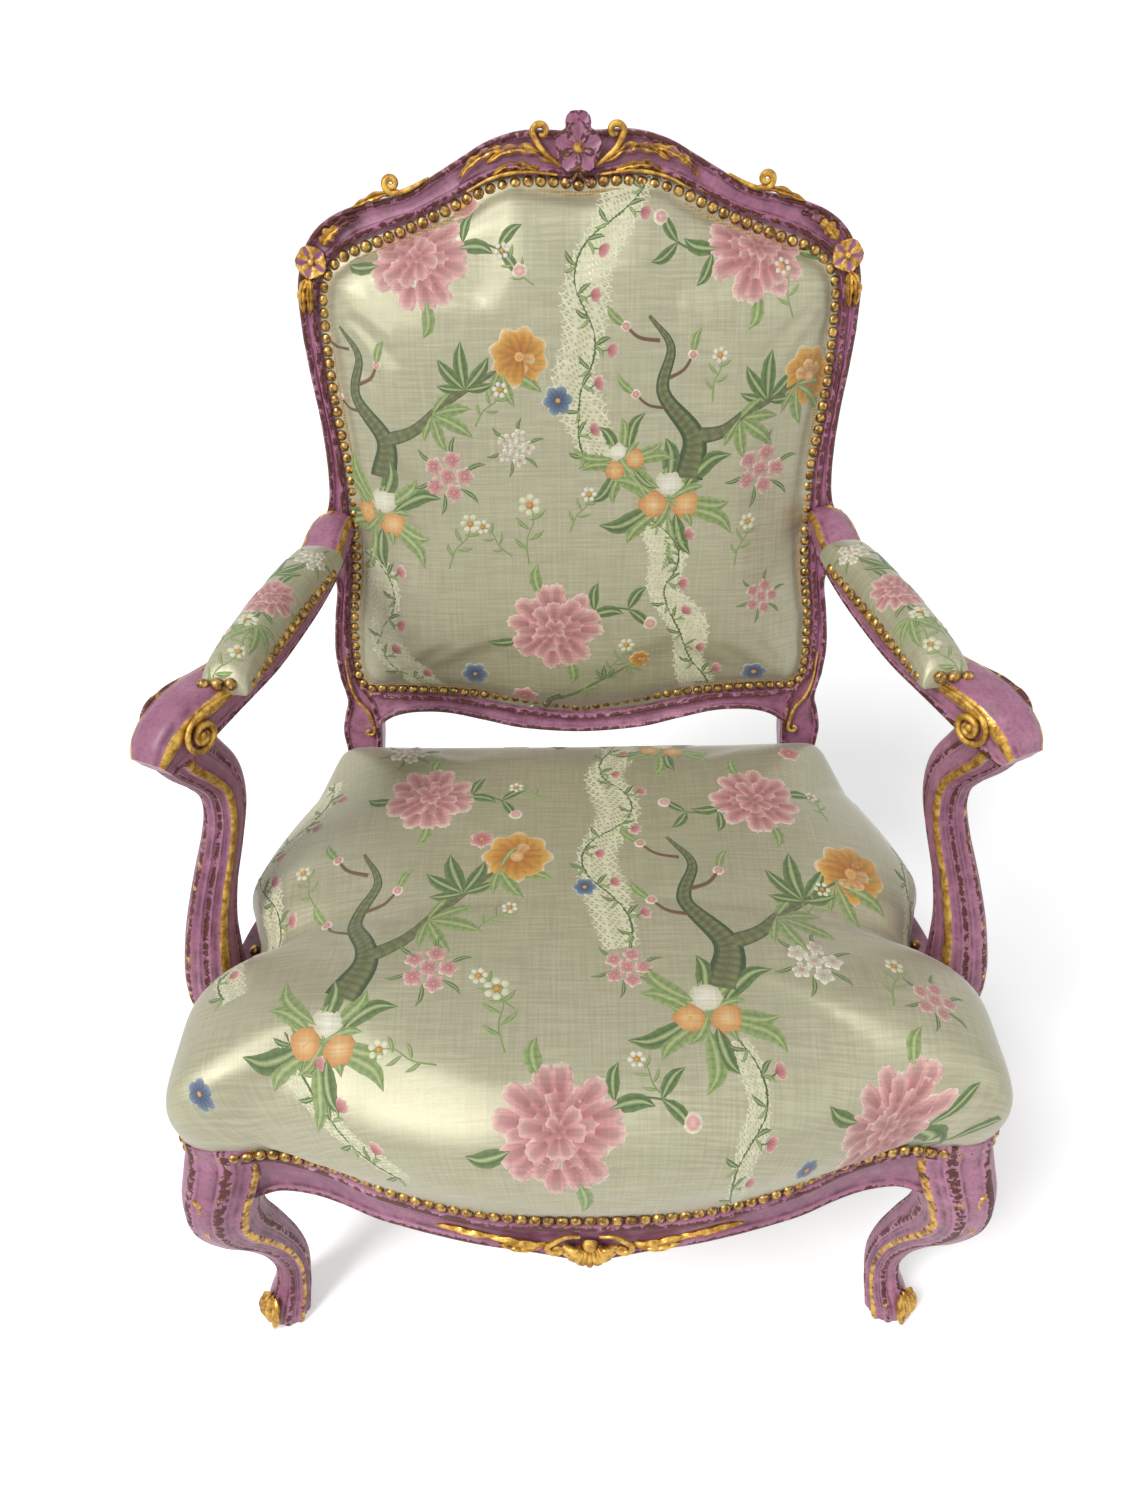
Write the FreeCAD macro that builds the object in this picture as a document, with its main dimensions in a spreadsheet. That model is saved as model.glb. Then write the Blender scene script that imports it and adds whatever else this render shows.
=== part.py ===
import FreeCAD, Part
import math
import os
import re
import Sketcher
from FreeCAD import Placement, Rotation, Vector

# A rococo open armchair. Millimetres, +Z up, the sitter faces -Y.
# The origin is on the floor, under the middle of the chair.
# Right-hand pieces have x above 0, and left-hand pieces mirror them.

doc = FreeCAD.newDocument("Fauteuil")

# Driving dimensions
SIZES = {
    # seat frame, in plan
    "front_reach": 313,
    "corner_reach": 256,
    "front_half": 346,
    "rear_half": 257,
    "post_front": 173,
    "rail_bow": 19,
    # seat frame, in height
    "rail_top": 330,
    "rail_tall": 64,
    "rail_thick": 34,
    "tacking_step": 4,
    "tacking_tall": 19,
    "rear_rebate": 2,
    "arch_rise": 8,
    # legs
    "leg_block": 74,
    "knee_out": 7,
    "knee_wide": 68,
    "ankle_wide": 31,
    "foot_wide": 40,
    "post_wide": 40,
    "post_deep": 42,
    "heel_back": 285,
    "heel_wide": 34,
    # back frame, drawn in its own leaning plane: v runs up the back from the base line
    "back_base": 400,
    "back_reach": 186,
    "back_rake": 10.76,
    "back_half": 252,
    "waist_half": 243,
    "crest_top": 587,
    "flower_top": 600,
    "flower_radius": 21,
    "flower_proud": 9,
    "crest_drop": 161,
    "frame_deep": 32,
    "stile_wide": 33,
    "low_rail_bottom": 16,
    "volute_radius": 9,
    # arms
    "arm_line": 632,
    "arm_wide": 38,
    "arm_tall": 30,
    "arm_root_x": 246,
    "knuckle_x": 322,
    "knuckle_reach": 58,
    "knuckle_tall": 52,
    "support_wide": 34,
    "support_deep": 42,
    "support_sweep": 42,
    "support_foot_x": 348,
    "support_foot_wide": 52,
    "support_joint": 604,
    # upholstery
    "seat_crown": 432,
    "seat_swell": 7,
    "back_crown": 30,
    "pad_tall": 26,
    "pad_wide": 46,
    "cover_thick": 1.2,
    "webbing_thick": 1.6,
    "webbing_wide": 60,
    "hessian_thick": 1,
    # fastenings
    "nail_head": 10.4,
    "nail_pitch": 10.9,
    "nail_rise": 3.6,
    "shank_radius": 0.8,
    "shank_long": 9,
    "tenon_thick": 11,
    "tenon_long": 22,
    "peg_radius": 3.5,
    "screw_radius": 2.5,
    "screw_head": 4.6,
    "brace_leg": 62,
    "brace_tall": 36,
}

sheet = doc.addObject("Spreadsheet::Sheet", "Sizes")
for row, (alias, number) in enumerate(SIZES.items(), start=1):
    sheet.set("A%d" % row, alias)
    sheet.set("B%d" % row, str(number))
    sheet.setAlias("B%d" % row, alias)
doc.recompute()


# Helpers that write sizes as expressions on the sheet

def bound(text):
    """The same sum with each size named on the sheet."""
    return re.sub(
        r"[a-z][a-z_]+", lambda m: "Sizes." + m.group(0) if m.group(0) in SIZES else m.group(0), text
    )


def value(text):
    """What a sum of named sizes comes to now."""
    return float(sheet.evalExpression(bound(text)))


def bind(thing, path, text):
    thing.setExpression(path, bound(text))


def origin_plane(body, role):
    return next(item for item in body.Origin.OriginFeatures if item.Role == role)


def new_body(name):
    body = doc.addObject("PartDesign::Body", name)
    body.Label = name
    return body


def lean(thing):
    """Lay an object that is drawn upright into the plane of the back's front face."""
    thing.Placement = Placement(
        Vector(0, value("back_reach"), value("back_base")), Rotation(Vector(1, 0, 0), -value("back_rake"))
    )
    bind(thing, ".Placement.Base.y", "back_reach")
    bind(thing, ".Placement.Base.z", "back_base")
    bind(thing, ".Placement.Rotation.Angle", "-back_rake")


def new_sketch(body, role, offset):
    sketch = body.newObject("Sketcher::SketchObject", body.Name + "_sketch")
    sketch.AttachmentSupport = [(origin_plane(body, role), "")]
    sketch.MapMode = "FlatFace"
    sketch.AttachmentOffset = Placement(Vector(0, 0, value(offset)), Rotation())
    bind(sketch, ".AttachmentOffset.Base.z", offset)
    return sketch


def pin(sketch, geometry, end, place):
    """Fix a point of the sketch at two sums of sizes."""
    for kind, text in (("DistanceX", place[0]), ("DistanceY", place[1])):
        number = sketch.addConstraint(Sketcher.Constraint(kind, -1, 1, geometry, end, value(text)))
        bind(sketch, "Constraints[%d]" % number, text)


def arc_through(first, middle, last):
    """An arc and which of its ends the first point is."""
    a, b, c = (Vector(value(p[0]), value(p[1]), 0) for p in (first, middle, last))
    turn = (b - a).cross(c - b).z
    circle = Part.Arc(a, b, c) if turn > 0 else Part.Arc(c, b, a)
    return circle, (1 if turn > 0 else 2)


def outline_sketch(body, role, offset, outline):
    """A closed outline: a start point, then (middle, end) for an arc or (None, end) for a line."""
    sketch = new_sketch(body, role, offset)
    start = outline[0]
    ends = []
    places = [start]
    for middle, end in outline[1:]:
        if middle is None:
            a, b = (Vector(value(p[0]), value(p[1]), 0) for p in (places[-1], end))
            index = sketch.addGeometry(Part.LineSegment(a, b), False)
            ends.append((index, 1, 2))
        else:
            arc, first = arc_through(places[-1], middle, end)
            index = sketch.addGeometry(arc, False)
            ends.append((index, first, 3 - first))
        places.append(end)
    for number, (index, first, last) in enumerate(ends):
        after = ends[(number + 1) % len(ends)]
        sketch.addConstraint(Sketcher.Constraint("Coincident", index, last, after[0], after[1]))
        pin(sketch, index, first, places[number])
    for number, (middle, end) in enumerate(outline[1:]):
        if middle is not None:
            point = sketch.addGeometry(Part.Point(Vector(value(middle[0]), value(middle[1]), 0)), True)
            pin(sketch, point, 1, middle)
            sketch.addConstraint(Sketcher.Constraint("PointOnObject", point, 1, ends[number][0]))
    return sketch


def rounded_sketch(body, role, offset, across, up, wide, tall, radius):
    """A rectangle with round corners about a centre: a section of a shaped member."""
    sketch = new_sketch(body, role, offset)
    cx, cy, w, t, r = (value(text) for text in (across, up, wide, tall, radius))
    x0, x1, y0, y1 = cx - w / 2, cx + w / 2, cy - t / 2, cy + t / 2
    quarter = math.pi / 2
    corners = ((x1 - r, y0 + r), (x1 - r, y1 - r), (x0 + r, y1 - r), (x0 + r, y0 + r))
    sides = (
        (x0 + r, y0, x1 - r, y0), (x1, y0 + r, x1, y1 - r), (x1 - r, y1, x0 + r, y1),
        (x0, y1 - r, x0, y0 + r)
    )
    for number in range(4):
        ax, ay, bx, by = sides[number]
        sketch.addGeometry(Part.LineSegment(Vector(ax, ay, 0), Vector(bx, by, 0)), False)
        circle = Part.Circle(Vector(corners[number][0], corners[number][1], 0), Vector(0, 0, 1), r)
        sketch.addGeometry(Part.ArcOfCircle(circle, (number - 1) * quarter, number * quarter), False)
    for number in range(8):
        sketch.addConstraint(Sketcher.Constraint("Tangent", number, 2, (number + 1) % 8, 1))
    for kind, line in (("Horizontal", 0), ("Vertical", 2), ("Horizontal", 4), ("Vertical", 6)):
        sketch.addConstraint(Sketcher.Constraint(kind, line))
    for arc in (3, 5, 7):
        sketch.addConstraint(Sketcher.Constraint("Equal", 1, arc))
    for constraint, text in (
        (Sketcher.Constraint("Radius", 1, r), radius),
        (Sketcher.Constraint("DistanceX", 6, 1, 2, 1, w), wide),
        (Sketcher.Constraint("DistanceY", 0, 1, 4, 1, t), tall),
        (Sketcher.Constraint("DistanceX", -1, 1, 2, 1, x1), "(%s) + (%s) / 2" % (across, wide)),
        (Sketcher.Constraint("DistanceY", -1, 1, 4, 1, y1), "(%s) + (%s) / 2" % (up, tall)),
    ):
        number = sketch.addConstraint(constraint)
        bind(sketch, "Constraints[%d]" % number, text)
    return sketch


def pad(body, sketch, length, back=False, middle=False):
    feature = body.newObject("PartDesign::Pad", body.Name + "_pad")
    feature.Profile = sketch
    feature.Length = value(length)
    bind(feature, ".Length", length)
    feature.Reversed = back
    feature.Midplane = middle
    sketch.Visibility = False
    return feature


def pocket(body, sketch, length, back=False, middle=False):
    feature = body.newObject("PartDesign::Pocket", body.Name + "_pocket")
    feature.Profile = sketch
    feature.Length = value(length)
    bind(feature, ".Length", length)
    feature.Reversed = back
    feature.Midplane = middle
    return feature


def loft(body, sections, ruled=False):
    feature = body.newObject("PartDesign::AdditiveLoft", body.Name + "_loft")
    feature.Profile = sections[0]
    feature.Sections = sections[1:]
    feature.Ruled = ruled
    return feature


def mirrored(name, source):
    """The left-hand copy of a right-hand piece."""
    copy = doc.addObject("Part::Mirroring", name)
    copy.Label = name
    copy.Source = source
    copy.Normal = Vector(1, 0, 0)
    return copy


def cut(name, base, tool):
    feature = doc.addObject("Part::Cut", name)
    feature.Label = name
    feature.Base = base
    feature.Tool = tool
    return feature


def group(name, shapes):
    """Separate solids that share one node, placed by formula."""
    feature = doc.addObject("Part::Feature", name)
    feature.Label = name
    feature.Shape = Part.makeCompound(shapes)
    return feature


def both_sides(half):
    """A closed outline from its right half, which runs from x = 0 to x = 0."""
    flip = lambda p: ("-(%s)" % p[0], p[1])
    places = [half[0]] + [end for _, end in half[1:]]
    left = []
    for number in range(len(half) - 1, 0, -1):
        middle = half[number][0]
        left.append((None if middle is None else flip(middle), flip(places[number - 1])))
    return half + left


def flat_wire(outline):
    """The outline as a wire in X and Y, for setting out nails."""
    edges = []
    here = outline[0]
    for middle, end in outline[1:]:
        a, c = (Vector(value(p[0]), value(p[1]), 0) for p in (here, end))
        if middle is None:
            edges.append(Part.LineSegment(a, c).toShape())
        else:
            b = Vector(value(middle[0]), value(middle[1]), 0)
            edges.append(Part.Arc(a, b, c).toShape())
        here = end
    return Part.Wire(edges)


# Outlines that several pieces share

def seat_point(x, y, inset):
    return ("(%s) * (1 - (%s) / front_half)" % (x, inset), "(%s) * (1 - (%s) / front_reach)" % (y, inset))


def sweep(share):
    """How far forward the front edge is, between the corner and the middle."""
    return "-(corner_reach + %g * (front_reach - corner_reach))" % share


BLOCK_INNER = "front_half - leg_block"
BLOCK_REAR = "-(corner_reach - leg_block + 8)"
SIDE_MIDDLE = (
    "(front_half + rear_half) / 2 + rail_bow + 4", "(post_front - corner_reach + leg_block - 8) / 2 - 16"
)


def seat_outline(inset):
    """The seat's outer edge in plan, drawn in by an inset."""
    half = [
        ("0", sweep(1)),
        (("0.246 * front_half", sweep(0.904)), ("0.477 * front_half", sweep(0.544))),
        (("0.621 * front_half", sweep(0.158)), (BLOCK_INNER, sweep(-0.07))),
        (("front_half - 0.62 * leg_block", sweep(0)), ("front_half - 20", sweep(-0.06))),
        (("front_half - 3", sweep(-0.26)), ("front_half", sweep(-0.68))),
        (None, ("front_half + 1", BLOCK_REAR)),
        (SIDE_MIDDLE, ("rear_half + 1", "post_front - 8")),
        (("rear_half - 4", "post_front - 2"), ("rear_half - 14", "post_front - 1")),
        (None, ("0", "post_front")),
    ]
    inset_half = [seat_point(*half[0], inset)]
    for middle, end in half[1:]:
        inset_half.append((None if middle is None else seat_point(*middle, inset), seat_point(*end, inset)))
    return both_sides(inset_half)


JOINT = "(crest_top - crest_drop)"


def back_line(inset):
    """The nail line of the back, in its leaning plane, drawn in by an inset."""
    half = [
        ("0", "crest_top - 42"),
        (("0.2 * back_half", "crest_top - 40"), ("0.4 * back_half", "crest_top - 54")),
        (("0.585 * back_half", "crest_top - 74"), ("0.766 * back_half", "crest_top - 90")),
        (("0.865 * back_half", "crest_top - 105"), ("0.909 * back_half", "crest_top - 132")),
        (("0.908 * back_half", "0.88 * " + JOINT), ("waist_half - 22", "0.71 * " + JOINT)),
        (("waist_half - 21", "0.55 * " + JOINT), ("waist_half - 14", "0.4 * " + JOINT)),
        (("waist_half - 10", "0.3 * " + JOINT), ("waist_half - 10", "0.21 * " + JOINT)),
        (("waist_half - 14", "low_rail_bottom + 58"), ("waist_half - 31", "low_rail_bottom + 54")),
        (("0.5 * waist_half", "low_rail_bottom + 48"), ("0", "low_rail_bottom + 29")),
    ]
    middle_v = "0.5 * crest_top"
    draw_in = lambda p: (
        "(%s) * (1 - (%s) / back_half)" % (p[0], inset),
        "%s + ((%s) - %s) * (1 - (%s) / (0.44 * crest_top))" % (middle_v, p[1], middle_v, inset),
    )
    inset_half = [draw_in(half[0])]
    for middle, end in half[1:]:
        inset_half.append((draw_in(middle), draw_in(end)))
    return both_sides(inset_half)


# Nails and other small fastenings

def turned(points):
    """A solid turned about Z from an outline of (radius, height) points."""
    wire = Part.makePolygon([Vector(r, 0, z) for r, z in points + points[:1]])
    return Part.Face(wire).revolve(Vector(0, 0, 0), Vector(0, 0, 1), 360)


def dome_nail():
    """One upholstery nail, faceted: its seat is at z = 0 and its point is below."""
    head, rise = value("nail_head / 2"), value("nail_rise")
    shank, long = value("shank_radius"), value("shank_long")
    outline = [(0.72 * head, 0.66 * rise), (head, 0), (shank, 0), (shank, 2 - long)]
    sides = 8
    ways = [math.radians(360 * k / sides) for k in range(sides)]
    rings = [[Vector(r * math.cos(a), r * math.sin(a), z) for a in ways] for r, z in outline]
    tip, crown = Vector(0, 0, -long), Vector(0, 0, rise)
    outlines = []
    for k in range(sides):
        after = (k + 1) % sides
        outlines.append([crown, rings[0][k], rings[0][after]])
        outlines += [
            [upper[k], lower[k], lower[after], upper[after]] for upper, lower in zip(rings, rings[1:])
        ]
        outlines.append([rings[-1][k], tip, rings[-1][after]])
    faces = [Part.Face(Part.makePolygon(outline + outline[:1])) for outline in outlines]
    return Part.Solid(Part.Shell(faces))


def placed(shape, point, direction):
    copy = shape.copy()
    copy.Placement = Placement(point, Rotation(Vector(0, 0, 1), direction))
    return copy


def wood_screw(long):
    """A countersunk screw: its flat head is at z = 0."""
    radius, head = value("screw_radius"), value("screw_head")
    return turned([(0, 0), (head, 0), (radius, -3), (radius, -long + 5), (0, -long)])


def spaced(wire, closed):
    """Places along a wire at the nail pitch, spread evenly."""
    count = max(2, round(wire.Length / value("nail_pitch")))
    places = wire.discretize(Number=count + 1)
    return places[:-1] if closed else places


def leaning(point, out=0.0):
    """A point of the back's plane, moved out of its front face."""
    rake = math.radians(value("back_rake"))
    up = Vector(0, math.sin(rake), math.cos(rake))
    front = Vector(0, -math.cos(rake), math.sin(rake))
    return Vector(point.x, value("back_reach"), value("back_base")) + up * point.y + front * out


rake = math.radians(value("back_rake"))
FACE_OUT = Vector(0, -math.cos(rake), math.sin(rake))

nail = dome_nail()
cover = value("cover_thick")

# Back nails: one close row on the front of the frame, in the rebate round the pad
back_wire = flat_wire(back_line("0"))
back_nail_places = spaced(back_wire, True)
rebate = value("tacking_step")
back_nails = group(
    "back_nails", [placed(nail, leaning(p, cover - rebate), FACE_OUT) for p in back_nail_places]
)

# Outside back nails: the same line on the rear of the frame
rear_out = -value("frame_deep - rear_rebate") - cover
outside_back_nails = group(
    "outside_back_nails", [placed(nail, leaning(p, rear_out), -FACE_OUT) for p in back_nail_places]
)


def seat_nail_run(first, last):
    """Nails on the seat's edge between two shares of its length, pointing outwards."""
    wire = flat_wire(seat_outline("tacking_step - cover_thick"))
    every = spaced(wire, True)
    solids = []
    low = value("rail_top - tacking_tall + nail_head / 2 + 1")
    for number, point in enumerate(every):
        before, after = every[number - 1], every[(number + 1) % len(every)]
        along = (after - before).normalize()
        outward = Vector(along.y, -along.x, 0)
        if outward.dot(point) < 0:
            outward = -outward
        if last > point.y > first:
            solids.append(placed(nail, Vector(point.x, point.y, low), outward))
    return solids


support_y = value("-(knuckle_reach + 6)")
foot_half = value("support_deep / 2 + 8")
seat_front_nails = seat_nail_run(-1000, support_y - foot_half - 8)
seat_side_nails = seat_nail_run(support_y + foot_half + 8, value("post_front - 12"))


def nails_round_support():
    """The short curved row on top of the rail, where the cover is cut round each arm support."""
    solids = []
    top = value("rail_top") + cover
    centre_x = value("support_foot_x")
    reach = value("support_foot_wide / 2 + nail_head / 2 + 2")
    for side in (1, -1):
        for step in range(5):
            angle = math.radians(145 + step * 70 / 4)
            x = centre_x + reach * math.cos(angle)
            y = support_y + (foot_half + 5) * math.sin(angle) * 1.25
            tilt = Vector(side * 0.35, 0, 1).normalize()
            solids.append(placed(nail, Vector(side * x, y, top), tilt))
    return solids


seat_nails = group("seat_nails", seat_front_nails + seat_side_nails + nails_round_support())

doc.recompute()

# Seat frame

OUTER = "rail_top - rail_tall"


def front_rail_outline(inset):
    """The front rail in plan: a serpentine face and a curved inside."""
    face = lambda share: "-(corner_reach + %g * (front_reach - corner_reach)) + %s" % (share, inset)
    half = [
        ("0", face(1)),
        (("0.246 * front_half", face(0.904)), ("0.477 * front_half", face(0.544))),
        (("0.621 * front_half", face(0.158)), (BLOCK_INNER, face(-0.07))),
        (None, (BLOCK_INNER, "-(corner_reach - rail_thick - 6)")),
        (
            ("0.4 * front_half", "-(0.35 * corner_reach + 0.65 * front_reach - rail_thick)"),
            ("0", "-(front_reach - rail_thick)")
        ),
    ]
    return both_sides(half)


front_rail_body = new_body("front_rail_blank")
lower = outline_sketch(front_rail_body, "XY_Plane", OUTER + " - 6", front_rail_outline("0"))
pad(front_rail_body, lower, "rail_tall - tacking_tall + 6")
upper = outline_sketch(front_rail_body, "XY_Plane", OUTER, front_rail_outline("tacking_step"))
front_rail_pads = pad(front_rail_body, upper, "rail_tall")
# The lower edge arches up towards the legs and drops in the middle, under the carved shell.
edge_half = [
    ("0", OUTER + " - 30"),
    (None, ("0", OUTER + " - 4")),
    (("0.2 * front_half", OUTER + " + 2"), ("0.42 * front_half", OUTER + " + arch_rise - 3")),
    (("0.6 * front_half", OUTER + " + arch_rise"), ("front_half - leg_block + 4", OUTER + " - 4")),
    (None, ("front_half - leg_block + 4", OUTER + " - 30")),
    (None, ("0", OUTER + " - 30")),
]
right_edge = outline_sketch(front_rail_body, "XZ_Plane", "0", edge_half)
right_pocket = pocket(front_rail_body, right_edge, "2 * front_reach + 100", middle=True)
mirror = front_rail_body.newObject("PartDesign::Mirrored", "front_rail_edge_mirror")
mirror.Originals = [right_pocket]
mirror.MirrorPlane = (origin_plane(front_rail_body, "YZ_Plane"), "")
front_rail_body.Tip = mirror
# The carved shell in the middle of the rail
shell = rounded_sketch(
    front_rail_body, "XZ_Plane", "front_reach - 12", "0", OUTER + " + 10", "64", "46", "18"
)
pad(front_rail_body, shell, "18")
# Tenons into the front legs
tenon_y = "-(corner_reach - 12 - tenon_thick / 2)"
tenon_z = "rail_top - rail_tall / 2 - 4"
tenon = rounded_sketch(
    front_rail_body, "YZ_Plane", BLOCK_INNER + " - 3", tenon_y, tenon_z, "tenon_thick", "rail_tall - 26",
    "1"
)
tenon_pad = pad(front_rail_body, tenon, "tenon_long + 3")
mirror = front_rail_body.newObject("PartDesign::Mirrored", "front_rail_tenon_mirror")
mirror.Originals = [tenon_pad]
mirror.MirrorPlane = (origin_plane(front_rail_body, "YZ_Plane"), "")
front_rail_body.Tip = mirror


def side_rail_outline(inset):
    """The right side rail in plan, bowed outwards."""
    middle_x, middle_y = SIDE_MIDDLE
    return [
        ("front_half + 1 - %s" % inset, BLOCK_REAR),
        ((middle_x + " - %s" % inset, middle_y), ("rear_half - %s" % inset, "post_front")),
        (None, ("rear_half - rail_thick - 2", "post_front")),
        ((middle_x + " - rail_thick - 1", middle_y), ("front_half - rail_thick - 4", BLOCK_REAR)),
        (None, ("front_half + 1 - %s" % inset, BLOCK_REAR)),
    ]


side_rail_body = new_body("side_rail_blank")
lower = outline_sketch(side_rail_body, "XY_Plane", OUTER, side_rail_outline("0"))
pad(side_rail_body, lower, "rail_tall - tacking_tall")
upper = outline_sketch(side_rail_body, "XY_Plane", OUTER + " + 1", side_rail_outline("tacking_step"))
side_rail_pads = pad(side_rail_body, upper, "rail_tall - 1")
arch = [
    (BLOCK_REAR + " - 4", OUTER + " - 20"),
    (None, (BLOCK_REAR + " - 4", OUTER)),
    (("-20", OUTER + " + arch_rise"), ("post_front + 4", OUTER)),
    (None, ("post_front + 4", OUTER + " - 20")),
    (None, (BLOCK_REAR + " - 4", OUTER + " - 20")),
]
arch_sketch = outline_sketch(side_rail_body, "YZ_Plane", "0", arch)
side_pocket = pocket(side_rail_body, arch_sketch, "2 * front_half + 60", middle=True)
# Tenons into the front leg and the rear post, along Y
front_tenon = rounded_sketch(
    side_rail_body, "XZ_Plane", "-(%s) - 3" % BLOCK_REAR, "front_half - 15 - tenon_thick / 2", tenon_z,
    "tenon_thick", "rail_tall - 26", "1"
)
pad(side_rail_body, front_tenon, "tenon_long + 3")
rear_tenon = rounded_sketch(
    side_rail_body, "XZ_Plane", "-(post_front - 3)", "rear_half - 15 - tenon_thick / 2", tenon_z,
    "tenon_thick", "rail_tall - 26", "1"
)
pad(side_rail_body, rear_tenon, "tenon_long + 3", back=True)

rear_rail_body = new_body("rear_rail_blank")
rear_rail_y = "post_front + 22"
REAR_INNER = "rear_half - post_wide"
rail_sketch = rounded_sketch(
    rear_rail_body, "YZ_Plane", "0", rear_rail_y, "rail_top - rail_tall / 2 + 2", "24", "rail_tall - 4",
    "2"
)
pad(rear_rail_body, rail_sketch, "2 * (%s)" % REAR_INNER, middle=True)
tenon = rounded_sketch(
    rear_rail_body, "YZ_Plane", "0", rear_rail_y, tenon_z, "tenon_thick - 3", "rail_tall - 26", "1"
)
pad(rear_rail_body, tenon, "2 * (%s + tenon_long - 10)" % REAR_INNER, middle=True)

# Front leg: a square block at the rails, a knee that swells outwards, a thin ankle and a scroll foot
leg_body = new_body("front_leg_blank")
BLOCK_X = "front_half - leg_block / 2"
BLOCK_Y = "-(corner_reach - leg_block / 2 + 4)"
leg_sections = [
    ("0", BLOCK_X + " - 6", BLOCK_Y + " - 5", "foot_wide", "foot_wide - 2", "14"),
    ("0.1 * rail_top", BLOCK_X + " - 11", BLOCK_Y + " - 1", "foot_wide - 2", "foot_wide - 3", "13"),
    ("0.2 * rail_top", BLOCK_X + " - 18", BLOCK_Y + " + 8", "ankle_wide", "ankle_wide", "11"),
    ("0.3 * rail_top", BLOCK_X + " - 15", BLOCK_Y + " + 6", "ankle_wide + 4", "ankle_wide + 4", "12"),
    ("0.455 * rail_top", BLOCK_X + " - 5", BLOCK_Y + " - 3", "0.68 * knee_wide", "0.68 * knee_wide", "15"),
    (
        "0.6 * rail_top", BLOCK_X + " + knee_out", BLOCK_Y + " - knee_out - 6", "0.88 * knee_wide",
        "0.86 * knee_wide", "18"
    ),
    (
        "0.71 * rail_top", BLOCK_X + " + knee_out - 2", BLOCK_Y + " - knee_out - 1", "knee_wide + 2",
        "knee_wide - 2", "18"
    ),
    (OUTER, BLOCK_X, BLOCK_Y, "leg_block", "leg_block - 8", "14"),
]
sections = [rounded_sketch(leg_body, "XY_Plane", *section) for section in leg_sections]
loft(leg_body, sections)
block = rounded_sketch(leg_body, "XY_Plane", OUTER, BLOCK_X, BLOCK_Y, "leg_block", "leg_block - 8", "14")
pad(leg_body, block, "rail_tall - tacking_tall")
SMALLER = "leg_block - tacking_step"
block = rounded_sketch(
    leg_body, "XY_Plane", OUTER, BLOCK_X + " - tacking_step / 2", BLOCK_Y + " + tacking_step / 2", SMALLER,
    SMALLER + " - 8", "12"
)
pad(leg_body, block, "rail_tall")

# Rear post: the splayed rear leg and the stile of the back in one shaped piece
post_body = new_body("rear_post_blank")
POST_X = "rear_half - post_wide / 2"


def front_at(height):
    """Where the back's front face is at a height."""
    return "(back_reach + tan(back_rake) * (%s - back_base))" % height


def stile_section(share, outer, wide):
    """A section of the stile at a share of its rise from the base line to the crest joint."""
    height = "(back_base + %g * cos(back_rake) * %s)" % (share, JOINT)
    deep = "frame_deep / cos(back_rake)"
    return (
        height, "%s - (%s) / 2" % (outer, wide), "%s + %s / 2" % (front_at(height), deep), wide, deep, "4"
    )


post_sections = [
    ("0", POST_X + " - 14", "heel_back", "heel_wide", "heel_wide", "8"),
    ("0.12 * rail_top", POST_X + " - 16", "heel_back - 12", "heel_wide - 3", "heel_wide - 3", "8"),
    (
        "0.36 * rail_top", POST_X + " - 15", "0.62 * heel_back + 0.38 * post_front", "heel_wide - 1",
        "heel_wide", "8"
    ),
    (
        "0.6 * rail_top", POST_X + " - 7", "0.27 * heel_back + 0.73 * (post_front + 21)", "post_wide - 3",
        "post_deep - 2", "6"
    ),
    (OUTER, POST_X, "post_front + post_deep / 2", "post_wide", "post_deep", "4"),
]
stile_sections = [
    ("rail_top", POST_X, "post_front + post_deep / 2", "post_wide", "post_deep", "4"),
    stile_section(0, "rear_half", "post_wide"),
    stile_section(0.13, "waist_half + 8", "stile_wide + 3"),
    stile_section(0.27, "back_half + 3", "stile_wide + 1"),
    stile_section(0.43, "waist_half + 5", "stile_wide - 1"),
    stile_section(0.55, "waist_half + 6", "stile_wide + 4"),
    stile_section(0.69, "waist_half", "stile_wide"),
    stile_section(0.83, "waist_half + 2", "stile_wide - 2"),
    stile_section(1.04, "back_half", "stile_wide"),
]
loft(post_body, [rounded_sketch(post_body, "XY_Plane", *section) for section in post_sections])
block = rounded_sketch(
    post_body, "XY_Plane", OUTER, POST_X, "post_front + post_deep / 2", "post_wide", "post_deep", "4"
)
pad(post_body, block, "rail_tall")
loft(post_body, [rounded_sketch(post_body, "XY_Plane", *section) for section in stile_sections])


def leaning_box(name, x, v, out, wide, tall, deep):
    """A block square to the back: its corner is at x and v, its front face at out behind the face."""
    box = doc.addObject("Part::Box", name)
    for path, text in ((".Length", wide), (".Width", deep), (".Height", tall)):
        bind(box, path, text)
    box.Placement = Placement(Vector(0, 0, 0), Rotation(Vector(1, 0, 0), -value("back_rake")))
    bind(box, ".Placement.Rotation.Angle", "-back_rake")
    bind(box, ".Placement.Base.x", x)
    bind(box, ".Placement.Base.y", "back_reach + (%s) * sin(back_rake) + (%s) * cos(back_rake)" % (v, out))
    bind(box, ".Placement.Base.z", "back_base + (%s) * cos(back_rake) - (%s) * sin(back_rake)" % (v, out))
    return box


# The stile is sawn square at the crest joint and carries a tenon.
above_joint = leaning_box("above_joint", "back_half - 60", JOINT, "-20", "80", "60", "frame_deep + 40")
stile_tenon = leaning_box(
    "stile_tenon", "back_half - stile_wide / 2 - 9", JOINT + " - 6", "frame_deep / 2 - tenon_thick / 2",
    "16", "30", "tenon_thick"
)
post_sawn = cut("post_sawn", post_body, above_joint)
post_whole = doc.addObject("Part::Fuse", "post_whole")
post_whole.Base = post_sawn
post_whole.Tool = stile_tenon

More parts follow.
